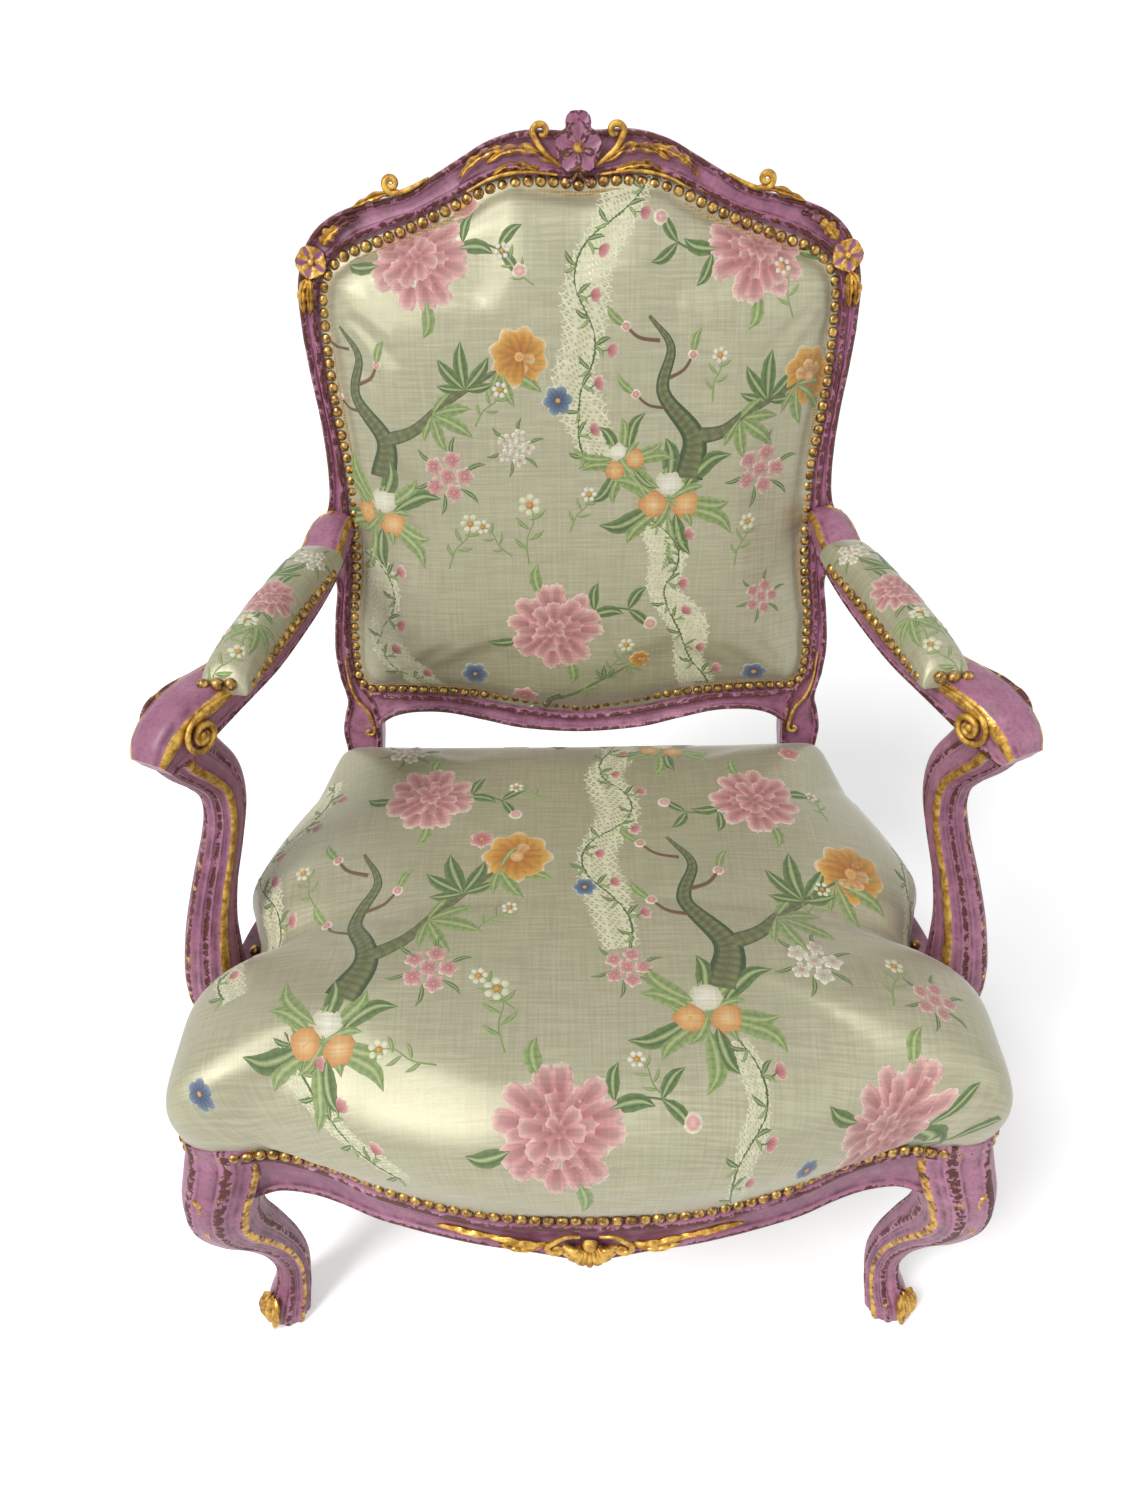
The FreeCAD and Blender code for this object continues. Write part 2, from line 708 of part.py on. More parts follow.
# Crest rail: shoulders, a hump with a flower in the middle and two small volutes
crest_body = new_body("crest_blank")
lean(crest_body)
crest_half = [
    ("0", "crest_top - 2"),
    (("0.18 * back_half", "crest_top"), ("0.385 * back_half", "crest_top - 18")),
    (("0.48 * back_half", "crest_top - 32"), ("0.595 * back_half", "crest_top - 47")),
    (("0.758 * back_half", "crest_top - 55"), ("0.853 * back_half", "crest_top - 64")),
    (("0.956 * back_half", "crest_top - 90"), ("0.996 * back_half", "crest_top - 120")),
    (("1.004 * back_half", "crest_top - 142"), ("back_half", JOINT)),
    (None, ("back_half - stile_wide", JOINT)),
    (("back_half - stile_wide - 1", "crest_top - 132"), ("0.837 * back_half", "crest_top - 113")),
    (("0.754 * back_half", "crest_top - 99"), ("0.571 * back_half", "crest_top - 83")),
    (("0.456 * back_half", "crest_top - 71"), ("0.353 * back_half", "crest_top - 58")),
    (("0.286 * back_half", "crest_top - 51"), ("0.214 * back_half", "crest_top - 48")),
    (("0.107 * back_half", "crest_top - 50.2"), ("0", "crest_top - 51")),
]
crest_sketch = outline_sketch(crest_body, "XZ_Plane", "0", both_sides(crest_half))
pad(crest_body, crest_sketch, "frame_deep", back=True)


def disc(body, x, v, radius, front, deep):
    """A round boss on the leaning face."""
    sketch = new_sketch(body, "XZ_Plane", front)
    sketch.addGeometry(Part.Circle(Vector(value(x), value(v), 0), Vector(0, 0, 1), value(radius)), False)
    pin(sketch, 0, 3, (x, v))
    number = sketch.addConstraint(Sketcher.Constraint("Radius", 0, value(radius)))
    bind(sketch, "Constraints[%d]" % number, radius)
    return pad(body, sketch, deep, back=True)


disc(crest_body, "0", "flower_top - flower_radius", "flower_radius", "flower_proud", "flower_proud + 24")
volute = disc(crest_body, "0.665 * back_half", "crest_top - 49", "volute_radius", "3", "20")
mirror = crest_body.newObject("PartDesign::Mirrored", "volute_mirror")
mirror.Originals = [volute]
mirror.MirrorPlane = (origin_plane(crest_body, "YZ_Plane"), "")
crest_body.Tip = mirror

# Lower back rail: arched between the posts, clear of the seat at both ends
low_body = new_body("lower_back_blank")
lean(low_body)
LOW = "low_rail_bottom"
low_half = [
    ("0", LOW + " + 38"),
    (("0.18 * waist_half", LOW + " + 40"), ("0.36 * waist_half", LOW + " + 49")),
    (("0.62 * waist_half", LOW + " + 61"), (REAR_INNER + " + 5", LOW + " + 64")),
    (None, (REAR_INNER + " + 5", LOW + " - 5")),
    (("0.83 * waist_half", LOW + " + 19"), ("0.74 * waist_half", LOW + " + 25")),
    (("0.6 * waist_half", LOW + " + 24"), ("0.45 * waist_half", LOW + " + 15")),
    (("0.26 * waist_half", LOW + " + 5"), ("0", LOW)),
]
low_sketch = outline_sketch(low_body, "XZ_Plane", "0", both_sides(low_half))
pad(low_body, low_sketch, "frame_deep", back=True)
low_tenon = rounded_sketch(
    low_body, "YZ_Plane", "0", "frame_deep / 2", LOW + " + 36", "tenon_thick", "24", "1"
)
tenon_pad = pad(low_body, low_tenon, "2 * (%s + tenon_long)" % REAR_INNER, middle=True)

# The rebate round the opening, where the pad is tacked
rebate_body = new_body("back_rebate")
lean(rebate_body)
rebate_sketch = outline_sketch(rebate_body, "XZ_Plane", "20", back_line("-(nail_head / 2 + 1.2)"))
pad(rebate_body, rebate_sketch, "20 + tacking_step", back=True)
rear_rebate_body = new_body("back_rear_rebate")
lean(rear_rebate_body)
rear_rebate_sketch = outline_sketch(
    rear_rebate_body, "XZ_Plane", "-(frame_deep - rear_rebate)", back_line("-(nail_head / 2 + 1.2)")
)
pad(rear_rebate_body, rear_rebate_sketch, "20", back=True)

# Arms: from the post forwards and outwards to a scrolled knuckle
arm_body = new_body("arm_blank")
KNUCKLE_Y = "-knuckle_reach"
arm_sections = [
    ("back_reach + 62", "arm_root_x - 13", "arm_line + 8", "arm_wide - 14", "arm_tall - 6", "5"),
    ("back_reach + 24", "arm_root_x - 3", "arm_line + 6", "arm_wide - 4", "arm_tall + 2", "6"),
    ("0.7 * back_reach", "arm_root_x + 9", "arm_line - 1", "arm_wide", "arm_tall - 4", "8"),
    (
        "0.3 * back_reach", "0.68 * arm_root_x + 0.32 * knuckle_x", "arm_line - 2", "arm_wide + 2",
        "arm_tall - 4", "8"
    ),
    (
        "-0.05 * back_reach", "0.45 * arm_root_x + 0.55 * knuckle_x", "arm_line", "arm_wide + 4",
        "arm_tall", "9"
    ),
    (KNUCKLE_Y + " + 12", "knuckle_x - 10", "arm_line - 6", "arm_wide + 8", "knuckle_tall - 8", "12"),
    (KNUCKLE_Y + " - 16", "knuckle_x + 5", "arm_line - 12", "arm_wide + 6", "knuckle_tall", "16"),
    (KNUCKLE_Y + " - 40", "knuckle_x + 14", "arm_line - 16", "arm_wide - 8", "0.55 * knuckle_tall", "12"),
]


def across_sketches(body, table):
    """Sections that stand across the Y axis."""
    return [rounded_sketch(body, "XZ_Plane", "-(%s)" % row[0], *row[1:]) for row in table]


loft(arm_body, across_sketches(arm_body, arm_sections))

# Arm supports: a flared foot lapped over the side rail, swept back and then forwards to the knuckle
support_body = new_body("arm_support_blank")
SUPPORT_Y = "-(knuckle_reach + 6)"
RISE = "(support_joint - rail_top)"
support_sections = [
    ("rail_top - 14", "support_foot_x + 2", SUPPORT_Y, "support_foot_wide", "support_deep + 14", "9"),
    (
        "rail_top + 0.08 * " + RISE, "support_foot_x + 1", SUPPORT_Y + " + 2", "support_foot_wide - 4",
        "support_deep + 10", "9"
    ),
    (
        "rail_top + 0.26 * " + RISE, "0.82 * support_foot_x + 0.18 * knuckle_x",
        SUPPORT_Y + " + 0.5 * support_sweep", "support_wide + 8", "support_deep + 2", "9"
    ),
    (
        "rail_top + 0.46 * " + RISE, "0.45 * support_foot_x + 0.55 * knuckle_x",
        SUPPORT_Y + " + support_sweep", "support_wide + 1", "support_deep", "9"
    ),
    (
        "rail_top + 0.63 * " + RISE, "knuckle_x - 1", SUPPORT_Y + " + support_sweep - 1", "support_wide",
        "support_deep", "9"
    ),
    (
        "rail_top + 0.8 * " + RISE, "knuckle_x - 6", SUPPORT_Y + " + 0.66 * support_sweep",
        "support_wide + 2", "support_deep + 6", "10"
    ),
    (
        "support_joint + 16", "knuckle_x - 2", SUPPORT_Y + " + 0.1 * support_sweep", "arm_wide - 2",
        "support_deep + 12", "12"
    ),
]
loft(support_body, [rounded_sketch(support_body, "XY_Plane", *section) for section in support_sections])


def upright(name, radius, x, y, low, tall):
    """A round pin that stands upright."""
    pin_part = doc.addObject("Part::Cylinder", name)
    for path, text in (
        (".Radius", radius), (".Height", tall), (".Placement.Base.x", x), (".Placement.Base.y", y),
        (".Placement.Base.z", low)
    ):
        bind(pin_part, path, text)
    return pin_part


arm_dowel = upright(
    "arm_dowel_right", "peg_radius + 1", "knuckle_x - 2", SUPPORT_Y + " + 4", "support_joint - 24", "46"
)
arm_dowel.Label = "arm_dowel_right"

# Screws through the rail into the support's foot, and the corner braces' screws
brace_screw = wood_screw(45)
arm_screw = wood_screw(48)
arm_screw_solids = []
for side in (1, -1):
    for dy in (-12, 12):
        inner_x = value("support_foot_x - support_foot_wide / 2 - 14")
        place = Vector(side * inner_x, value(SUPPORT_Y) + dy, value("rail_top - 8"))
        arm_screw_solids.append(placed(arm_screw, place, Vector(-side, 0, 0)))
arm_screws = group("arm_screws", arm_screw_solids)

# Corner braces: blocks across the inner corners of the seat frame
BRACE_TOP = "rail_top - 8"


def brace(name, corner, x_way, y_way):
    """A triangular block whose right angle is at a corner."""
    body = new_body(name)
    x, y = corner
    tips = [
        (x, y),
        (None, ("(%s) + %d * brace_leg" % (x, x_way), y)),
        (None, ("(%s) + %d * (brace_leg - 14)" % (x, x_way), "(%s) + %d * 14" % (y, y_way))),
        (None, ("(%s) + %d * 14" % (x, x_way), "(%s) + %d * (brace_leg - 14)" % (y, y_way))),
        (None, (x, "(%s) + %d * brace_leg" % (y, y_way))),
        (None, (x, y)),
    ]
    outline = outline_sketch(body, "XY_Plane", BRACE_TOP + " - brace_tall", tips)
    pad(body, outline, "brace_tall")
    return body


front_corner = (BLOCK_INNER + " + 4", "-(corner_reach - rail_thick - 6)")
rear_corner = (REAR_INNER + " + 3", "post_front + 9")
front_brace_body = brace("front_brace_blank", front_corner, -1, 1)
rear_brace_body = brace("rear_brace_blank", rear_corner, -1, -1)

brace_screw_solids = []
for side in (1, -1):
    for corner, x_way, y_way in ((front_corner, -1, 1), (rear_corner, -1, -1)):
        x, y = value(corner[0]), value(corner[1])
        leg = value("brace_leg")
        mid = Vector(side * (x + x_way * leg * 0.36), y + y_way * leg * 0.36, 0)
        for height in (10, 26):
            head = mid + Vector(side * x_way * leg * 0.14, y_way * leg * 0.14, value(BRACE_TOP) - height)
            direction = Vector(side * x_way, y_way, 0).normalize()
            brace_screw_solids.append(placed(brace_screw, head, direction))
brace_screws = group("brace_screws", brace_screw_solids)


# Pegs through the mortises and tenons

def peg(low, high):
    """A round peg between two points."""
    way = high - low
    return Part.makeCylinder(value("peg_radius"), way.Length, low, way)


seat_peg_solids = []
z_low, z_high = value(tenon_z) - 9, value(tenon_z) + 9
inner_x, inset_x = value(BLOCK_INNER), value("tenon_long / 2")
for side in (1, -1):
    for height in (z_low, z_high):
        x = side * (inner_x + inset_x)
        seat_peg_solids.append(
            peg(
                Vector(x, value("-(corner_reach - 33)"), height),
                Vector(x, value("-(corner_reach - 4)"), height)
            )
        )
        y = value(BLOCK_REAR) - inset_x
        seat_peg_solids.append(
            peg(
                Vector(side * value("front_half - 38"), y, height),
                Vector(side * value("front_half - 5"), y, height)
            )
        )
        y = value("post_front") + inset_x
        seat_peg_solids.append(
            peg(
                Vector(side * value("rear_half - 32"), y, height),
                Vector(side * value("rear_half - 1"), y, height)
            )
        )
seat_frame_pegs = group("seat_frame_pegs", seat_peg_solids)

back_peg_solids = []
deep = value("frame_deep")
for side in (1, -1):
    spot = Vector(side * value("back_half - stile_wide / 2 - 1"), value(JOINT) + 12, 0)
    back_peg_solids.append(peg(leaning(spot, -deep + 3), leaning(spot, -rebate - 2)))
    for v in (28, 42):
        spot = Vector(side * value(REAR_INNER + " + 12"), value(LOW) + v, 0)
        back_peg_solids.append(peg(leaning(spot, -deep + 3), leaning(spot, -rebate - 2)))
back_frame_pegs = group("back_frame_pegs", back_peg_solids)

# Webbing and hessian of the seat

HESSIAN_LOW = "(rail_top + 2 * webbing_thick)"
STUFFING_LOW = "(%s + hessian_thick)" % HESSIAN_LOW


def strap(name, x, y, z, along_x, along_y, thick):
    """A flat strap: a plain box with its corner at x, y, z."""
    box = doc.addObject("Part::Box", name)
    for path, text in ((".Length", along_x), (".Width", along_y), (".Height", thick)):
        bind(box, path, text)
    for path, text in ((".Placement.Base.x", x), (".Placement.Base.y", y), (".Placement.Base.z", z)):
        bind(box, path, text)
    return box


def compound(name, things):
    feature = doc.addObject("Part::Compound", name)
    feature.Label = name
    feature.Links = things
    return feature


lengthwise = []
for number, share in enumerate((-0.6, -0.2, 0.2, 0.6)):
    x = "%g * rear_half - webbing_wide / 2" % share
    front = "-(front_reach - %g * (front_reach - corner_reach) - rail_thick * 0.6)" % (
        0.35 * abs(share) / 0.2 - 0.3
    )
    long = "post_front + 20 - (%s)" % front
    lengthwise.append(
        strap("lengthwise_strap_%d" % number, x, front, "rail_top", "webbing_wide", long, "webbing_thick")
    )
seat_webbing_lengthwise = compound("seat_webbing_lengthwise", lengthwise)

crosswise = []
for number, share in enumerate((0.1, 0.32, 0.54, 0.76, 0.93)):
    y = "(post_front - %g * (post_front - (%s)))" % (share, BLOCK_REAR)
    half = "(rear_half + %g * (front_half - rear_half) + %g * rail_bow - 0.85 * rail_thick)" % (
        share, 4 * share * (1 - share)
    )
    place = ("-" + half, y + " - webbing_wide / 2", "rail_top + webbing_thick")
    crosswise.append(
        strap("crosswise_strap_%d" % number, *place, "2 * " + half, "webbing_wide", "webbing_thick")
    )
seat_webbing_crosswise = compound("seat_webbing_crosswise", crosswise)

# The notch that the upholstery leaves round each arm support, with a nailed ledge inside it
LEDGE = "(nail_head + 4)"
FOOT_WIDE = "support_foot_wide + 2 * " + LEDGE
FOOT_DEEP = "support_deep + 14 + 2 * " + LEDGE


def support_notch(name, low, tall):
    body = new_body(name)
    around = rounded_sketch(body, "XY_Plane", low, "support_foot_x", SUPPORT_Y, FOOT_WIDE, FOOT_DEEP, "16")
    pad(body, around, tall)
    return body


notch_body = support_notch("support_notch", "rail_top - rail_tall", "260")
notch_left = mirrored("support_notch_left", notch_body)
support_left = mirrored("support_blank_left", support_body)

hessian_body = new_body("seat_hessian_blank")
hessian_sketch = outline_sketch(hessian_body, "XY_Plane", HESSIAN_LOW, seat_outline("16"))
pad(hessian_body, hessian_sketch, "hessian_thick")


def seat_loft(name, grow):
    """The seat cushion's form: plan sections from the nail line up over the crown."""
    body = new_body(name)
    rise = "rail_top + %g * (seat_crown - rail_top)"
    shape = (
        ("rail_top - tacking_tall", "tacking_step"),
        ("rail_top + 2", "tacking_step"),
        (rise % 0.2, "2 - seat_swell"),
        (rise % 0.36, "0 - seat_swell"),
        (rise % 0.56, "5 - seat_swell"),
        (rise % 0.74, "20 - seat_swell"),
        (rise % 0.88, "47 - seat_swell"),
        (rise % 0.96, "85 - seat_swell"),
        ("seat_crown", "150"),
    )
    sections = []
    for number, (height, inset) in enumerate(shape):
        lift = " + %s * %g" % (grow, number / (len(shape) - 1)) if number else ""
        sections.append(
            outline_sketch(body, "XY_Plane", height + lift, seat_outline("(%s - %s)" % (inset, grow)))
        )
    loft(body, sections, ruled=True)
    return body


seat_core = seat_loft("seat_core", "0")
seat_skin = seat_loft("seat_skin", "cover_thick")
below_stuffing = strap("below_stuffing", "-500", "-500", "0", "1000", "1000", STUFFING_LOW)

# The seat cover's nailed ledges on the rail tops, beside the arm supports
ledge_body = support_notch("cover_ledge", "rail_top", "cover_thick")
ledge_left = mirrored("cover_ledge_left", ledge_body)
ledge_edge_body = new_body("ledge_edge")
ledge_edge = outline_sketch(
    ledge_edge_body, "XY_Plane", "rail_top - 1", seat_outline("tacking_step - cover_thick")
)
pad(ledge_edge_body, ledge_edge, "6")

# Webbing and hessian of the back, in the rebate
uprights = []
for number, share in enumerate((-0.5, 0, 0.5)):
    x = "%g * back_half - webbing_wide / 2" % share
    v_low = "low_rail_bottom + 38 + %g" % (22 * abs(share) / 0.5)
    v_high = "crest_top - 50 - %g" % (30 * abs(share) / 0.5)
    tall = "(%s) - (%s)" % (v_high, v_low)
    uprights.append(
        leaning_box(
            "upright_strap_%d" % number, x, v_low, "tacking_step - webbing_thick", "webbing_wide", tall,
            "webbing_thick"
        )
    )
back_webbing_upright = compound("back_webbing_upright", uprights)
acrosses = []
for number, share in enumerate((0.3, 0.5, 0.7, 0.9)):
    v = "%g * %s - webbing_wide / 2" % (share, JOINT)
    half = "(waist_half - 27)"
    acrosses.append(
        leaning_box(
            "across_strap_%d" % number, "-" + half, v, "tacking_step - 2 * webbing_thick", "2 * " + half,
            "webbing_wide", "webbing_thick"
        )
    )
back_webbing_across = compound("back_webbing_across", acrosses)

back_hessian_body = new_body("back_hessian")
lean(back_hessian_body)
back_hessian_sketch = outline_sketch(
    back_hessian_body, "XZ_Plane", "2 * webbing_thick - tacking_step", back_line("6")
)
pad(back_hessian_body, back_hessian_sketch, "hessian_thick")


def back_loft(name, grow):
    """The back pad's form: sections from the rebate forwards over the crown."""
    body = new_body(name)
    lean(body)
    shape = (
        ("-tacking_step", "5"),
        ("0.14 * back_crown", "5"),
        ("0.4 * back_crown", "9"),
        ("0.66 * back_crown", "19"),
        ("0.84 * back_crown", "36"),
        ("0.95 * back_crown", "64"),
        ("back_crown", "110"),
    )
    sections = []
    for number, (out, inset) in enumerate(shape):
        lift = " + %s * %g" % (grow, number / (len(shape) - 1)) if number else ""
        sections.append(
            outline_sketch(body, "XZ_Plane", out + lift, back_line("(%s - %s)" % (inset, grow)))
        )
    loft(body, sections, ruled=True)
    return body


back_core = back_loft("back_core", "0")
back_skin = back_loft("back_skin", "cover_thick")
flange_body = new_body("back_flange")
lean(flange_body)
flange_sketch = outline_sketch(
    flange_body, "XZ_Plane", "-tacking_step", back_line("-(nail_head / 2 + 0.6)")
)
pad(flange_body, flange_sketch, "cover_thick")
STUFFING_OUT = "(2 * webbing_thick - tacking_step + hessian_thick)"
behind_stuffing = leaning_box("behind_stuffing", "-400", "-100", "-" + STUFFING_OUT, "800", "900", "60")

outside_body = new_body("outside_back_cover")
lean(outside_body)
outside_sketch = outline_sketch(
    outside_body, "XZ_Plane", "-(frame_deep - rear_rebate)", back_line("-(nail_head / 2 + 0.6)")
)
pad(outside_body, outside_sketch, "cover_thick", back=True)

# Arm pads
PAD_LINE = "arm_line + 0.9 * pad_tall"
PAD_PLACES = (
    ("0.88 * back_reach", "arm_root_x"),
    ("0.7 * back_reach", "arm_root_x + 6"),
    ("0.3 * back_reach", "0.68 * arm_root_x + 0.32 * knuckle_x"),
    ("-0.05 * back_reach", "0.5 * arm_root_x + 0.5 * knuckle_x"),
    (KNUCKLE_Y + " + 28", "0.43 * arm_root_x + 0.57 * knuckle_x"),
    (KNUCKLE_Y + " + 18", "0.4 * arm_root_x + 0.6 * knuckle_x"),
)
PAD_SHAPE = ((-14, -12, 5), (-4, 0, 10), (0, 4, 12), (0, 4, 12), (-4, -2, 10), (-14, -12, 5))


def pad_loft(name, grow):
    body = new_body(name)
    sections = []
    for number, ((y, x), (wider, taller, radius)) in enumerate(zip(PAD_PLACES, PAD_SHAPE)):
        reach = {0: " + " + grow, len(PAD_PLACES) - 1: " - " + grow}.get(number, "")
        wide = "pad_wide + %d + 2 * %s" % (wider, grow)
        tall = "pad_tall + %d + 2 * %s" % (taller, grow)
        sections.append(
            rounded_sketch(body, "XZ_Plane", "-(%s%s)" % (y, reach), x, PAD_LINE, wide, tall, str(radius))
        )
    loft(body, sections)
    return body


pad_core = pad_loft("arm_pad_core", "0")
pad_skin = pad_loft("arm_pad_skin", "cover_thick")


def pad_nails(side):
    """Nails along both edges of an arm pad and across its front end."""
    places = [(value(y), value(x)) for y, x in PAD_PLACES]
    solids = []
    low = value("arm_line + 0.5 * arm_tall - 3")
    half = value("pad_wide / 2 - 2") + cover
    rear, front = places[1][0] + 8, places[4][0]
    count = round((rear - front) / value("nail_pitch"))
    for step in range(count + 1):
        y = rear + (front - rear) * step / count
        for (y0, x0), (y1, x1) in zip(places, places[1:]):
            if y0 >= y >= y1:
                x = x0 + (x1 - x0) * (y - y0) / (y1 - y0)
        for way in (1, -1):
            solids.append(
                placed(
                    nail, Vector(side * (x + way * half), y, low), Vector(side * way, 0, 0.25).normalize()
                )
            )
    end_y, end_x = places[-1]
    for step in range(3):
        x = end_x + (step - 1) * value("nail_pitch")
        solids.append(
            placed(nail, Vector(side * x, end_y - cover, low + 6), Vector(0, -1, 0.2).normalize())
        )
    return solids


# Holes for the nails' shanks

def drills(name, nails, keep):
    """Shank holes for those nails whose place is kept by the test."""
    tools = []
    for solid in nails:
        point = solid.Placement.Base
        if keep(point):
            way = solid.Placement.Rotation.multVec(Vector(0, 0, 1))
            long = value("shank_long")
            tools.append(Part.makeCylinder(value("shank_radius"), long, point - way * long, way))
    return group(name, tools)


joint_z = leaning(Vector(0, value(JOINT), 0)).z
low_z = value("back_base + low_rail_bottom + 66")
post_x = value(REAR_INNER) - 2
all_back_nails = back_nails.Shape.SubShapes + outside_back_nails.Shape.SubShapes
all_seat_nails = seat_nails.Shape.SubShapes
crest_drills = drills("crest_drills", all_back_nails, lambda p: p.z > joint_z - 4)
low_drills = drills("low_rail_drills", all_back_nails, lambda p: p.z < low_z and abs(p.x) < post_x)
front_drills = drills(
    "front_rail_drills", all_seat_nails, lambda p: p.y < 0 and abs(p.x) < value(BLOCK_INNER)
)

doc.recompute()


# Joints: each piece is cut by what passes into it

def chain(name, base, tools):
    """Cut a piece by several others, one after another."""
    piece = base
    for number, tool in enumerate(tools):
        last = number == len(tools) - 1
        piece = cut(name if last else "%s_cut_%d" % (name, number), piece, tool)
    return piece


def fused(name, base, tool):
    feature = doc.addObject("Part::Fuse", name)
    feature.Label = name
    feature.Base = base
    feature.Tool = tool
    return feature


def common(name, base, tool):
    feature = doc.addObject("Part::Common", name)
    feature.Base = base
    feature.Tool = tool
    return feature


stile_tenon_left = mirrored("stile_tenon_left", stile_tenon)
nodes = [
    back_nails, outside_back_nails, seat_nails, arm_screws, brace_screws, seat_frame_pegs, back_frame_pegs
]
nodes += [
    seat_webbing_lengthwise, seat_webbing_crosswise, back_webbing_upright, back_webbing_across,
    back_hessian_body, outside_body
]
nodes.append(chain("front_rail", front_rail_body, [seat_frame_pegs, front_drills]))
nodes.append(cut("rear_rail", rear_rail_body, seat_frame_pegs))
nodes.append(
    chain(
        "crest_rail", crest_body,
        [rebate_body, rear_rebate_body, stile_tenon, stile_tenon_left, back_frame_pegs, crest_drills]
    )
)
nodes.append(
    chain("lower_back_rail", low_body, [rebate_body, rear_rebate_body, back_frame_pegs, low_drills])
)
nodes.append(chain("seat_hessian", hessian_body, [notch_body, notch_left]))
nodes.append(chain("seat_stuffing", seat_core, [below_stuffing, notch_body, notch_left]))
cover_beds = [front_rail_body]
for thing in (side_rail_body, leg_body, rear_brace_body):
    cover_beds += [thing, mirrored(thing.Name + "_left", thing)]
skirted = chain(
    "seat_cover_open", seat_skin, [seat_core, notch_body, notch_left, seat_webbing_lengthwise] + cover_beds
)
for side, ledge, support in (("right", ledge_body, support_body), ("left", ledge_left, support_left)):
    trimmed = cut(
        "cover_ledge_trim_" + side, common("cover_ledge_in_" + side, ledge, ledge_edge_body), support
    )
    skirted = fused("seat_cover" if side == "left" else "seat_cover_half", skirted, trimmed)
nodes.append(skirted)
nodes.append(cut("back_stuffing", back_core, behind_stuffing))
nodes.append(cut("back_cover", fused("back_cover_solid", flange_body, back_skin), back_core))

on_right = lambda p: p.x > 0
block_rear, block_inner = value(BLOCK_REAR), value(BLOCK_INNER)
post_drills = drills(
    "post_drills", all_back_nails, lambda p: on_right(p) and p.z < joint_z and p.x > post_x - 12
)
rail_drills = drills("rail_drills", all_seat_nails, lambda p: on_right(p) and p.y > block_rear - 2)
leg_drills = drills("leg_drills", all_seat_nails, lambda p: p.y < block_rear and p.x > block_inner)
for side, way in (("right", 1), ("left", -1)):
    nodes.append(group("arm_pad_nails_" + side, pad_nails(way)))
arm_drills = drills("arm_drills", nodes[-2].Shape.SubShapes, on_right)
rail, leg, post, arm, support = side_rail_body, leg_body, post_whole, arm_body, support_body
post_tools = [rail, rear_rail_body, low_body, rebate_body, rear_rebate_body]
post_tools += [seat_frame_pegs, back_frame_pegs, brace_screws, post_drills]
right_hand = [
    chain("front_leg_right", leg, [front_rail_body, rail, seat_frame_pegs, brace_screws, leg_drills]),
    chain("side_rail_right", rail, [support, seat_frame_pegs, arm_screws, rail_drills]),
    chain("rear_post_right", post, post_tools),
    chain("arm_support_right", support, [arm, arm_dowel, arm_screws]),
    chain("arm_right", arm, [post, arm_dowel, arm_drills]),
    chain("corner_brace_front_right", front_brace_body, [leg, rail, front_rail_body, brace_screws]),
    chain("corner_brace_rear_right", rear_brace_body, [post, rail, rear_rail_body, brace_screws]),
    chain("arm_pad_stuffing_right", pad_core, [arm]),
    chain("arm_pad_cover_right", pad_skin, [pad_core, arm]),
    arm_dowel,
]
for thing in right_hand:
    nodes.append(thing)
    nodes.append(mirrored(thing.Label.replace("right", "left"), thing))

doc.recompute()

# Checks before anything is written
faults = [thing.Name for thing in doc.Objects if "Invalid" in thing.State or "Error" in thing.State]
for thing in nodes:
    shape = thing.Shape
    if shape.isNull() or not shape.isValid() or not shape.Solids:
        faults.append(thing.Label)
for before, after in ((front_rail_pads, right_pocket), (side_rail_pads, side_pocket)):
    if after.Shape.Volume >= before.Shape.Volume:
        faults.append(after.Name)
if faults:
    raise SystemExit("not sound: " + ", ".join(faults))

os.makedirs("parts", exist_ok=True)
for thing in nodes:
    thing.Shape.exportStep("parts/%s.step" % thing.Label)
    print(thing.Label, len(thing.Shape.Solids), round(thing.Shape.Volume))
print(len(nodes), "nodes")
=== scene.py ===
import math

import bmesh
import bpy
import numpy as np
from mathutils import Matrix, Vector
from mathutils.bvhtree import BVHTree


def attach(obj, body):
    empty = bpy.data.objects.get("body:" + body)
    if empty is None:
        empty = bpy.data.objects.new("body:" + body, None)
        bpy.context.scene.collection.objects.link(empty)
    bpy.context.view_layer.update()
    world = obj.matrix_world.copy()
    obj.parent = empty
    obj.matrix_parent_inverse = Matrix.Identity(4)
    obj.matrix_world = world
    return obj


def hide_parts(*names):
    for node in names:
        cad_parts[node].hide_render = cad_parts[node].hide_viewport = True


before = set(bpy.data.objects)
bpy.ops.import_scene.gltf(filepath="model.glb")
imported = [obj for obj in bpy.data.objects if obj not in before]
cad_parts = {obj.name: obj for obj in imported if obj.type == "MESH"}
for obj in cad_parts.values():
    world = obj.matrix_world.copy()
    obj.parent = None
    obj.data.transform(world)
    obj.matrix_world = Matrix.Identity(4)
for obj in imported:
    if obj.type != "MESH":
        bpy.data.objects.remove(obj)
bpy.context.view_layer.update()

bl_info = {
    "name": "Fauteuil looks",
    "version": (1, 0, 0),
    "blender": (4, 5, 0),
    "location": "View3D > Sidebar > Fauteuil",
    "description": "Builds the carved frame, the nails and the brocade of the armchair",
    "category": "Object",
}

# All sizes here are in millimetres until a mesh is made.
MM = 0.001
SEED = 7
SHARP_ANGLE = math.radians(50)
RAIL_TOP = 330.0
SEAT_UNDERSIDE = 0.3322

# The plane of the back's front face: v runs up it from a line 400 above the floor
RAKE = math.radians(10.76)
BACK_Y = 186.0
BACK_Z = 400.0
FRAME_DEEP = 32.0
REBATE = 4.0
NAIL_EDGE = 6.5


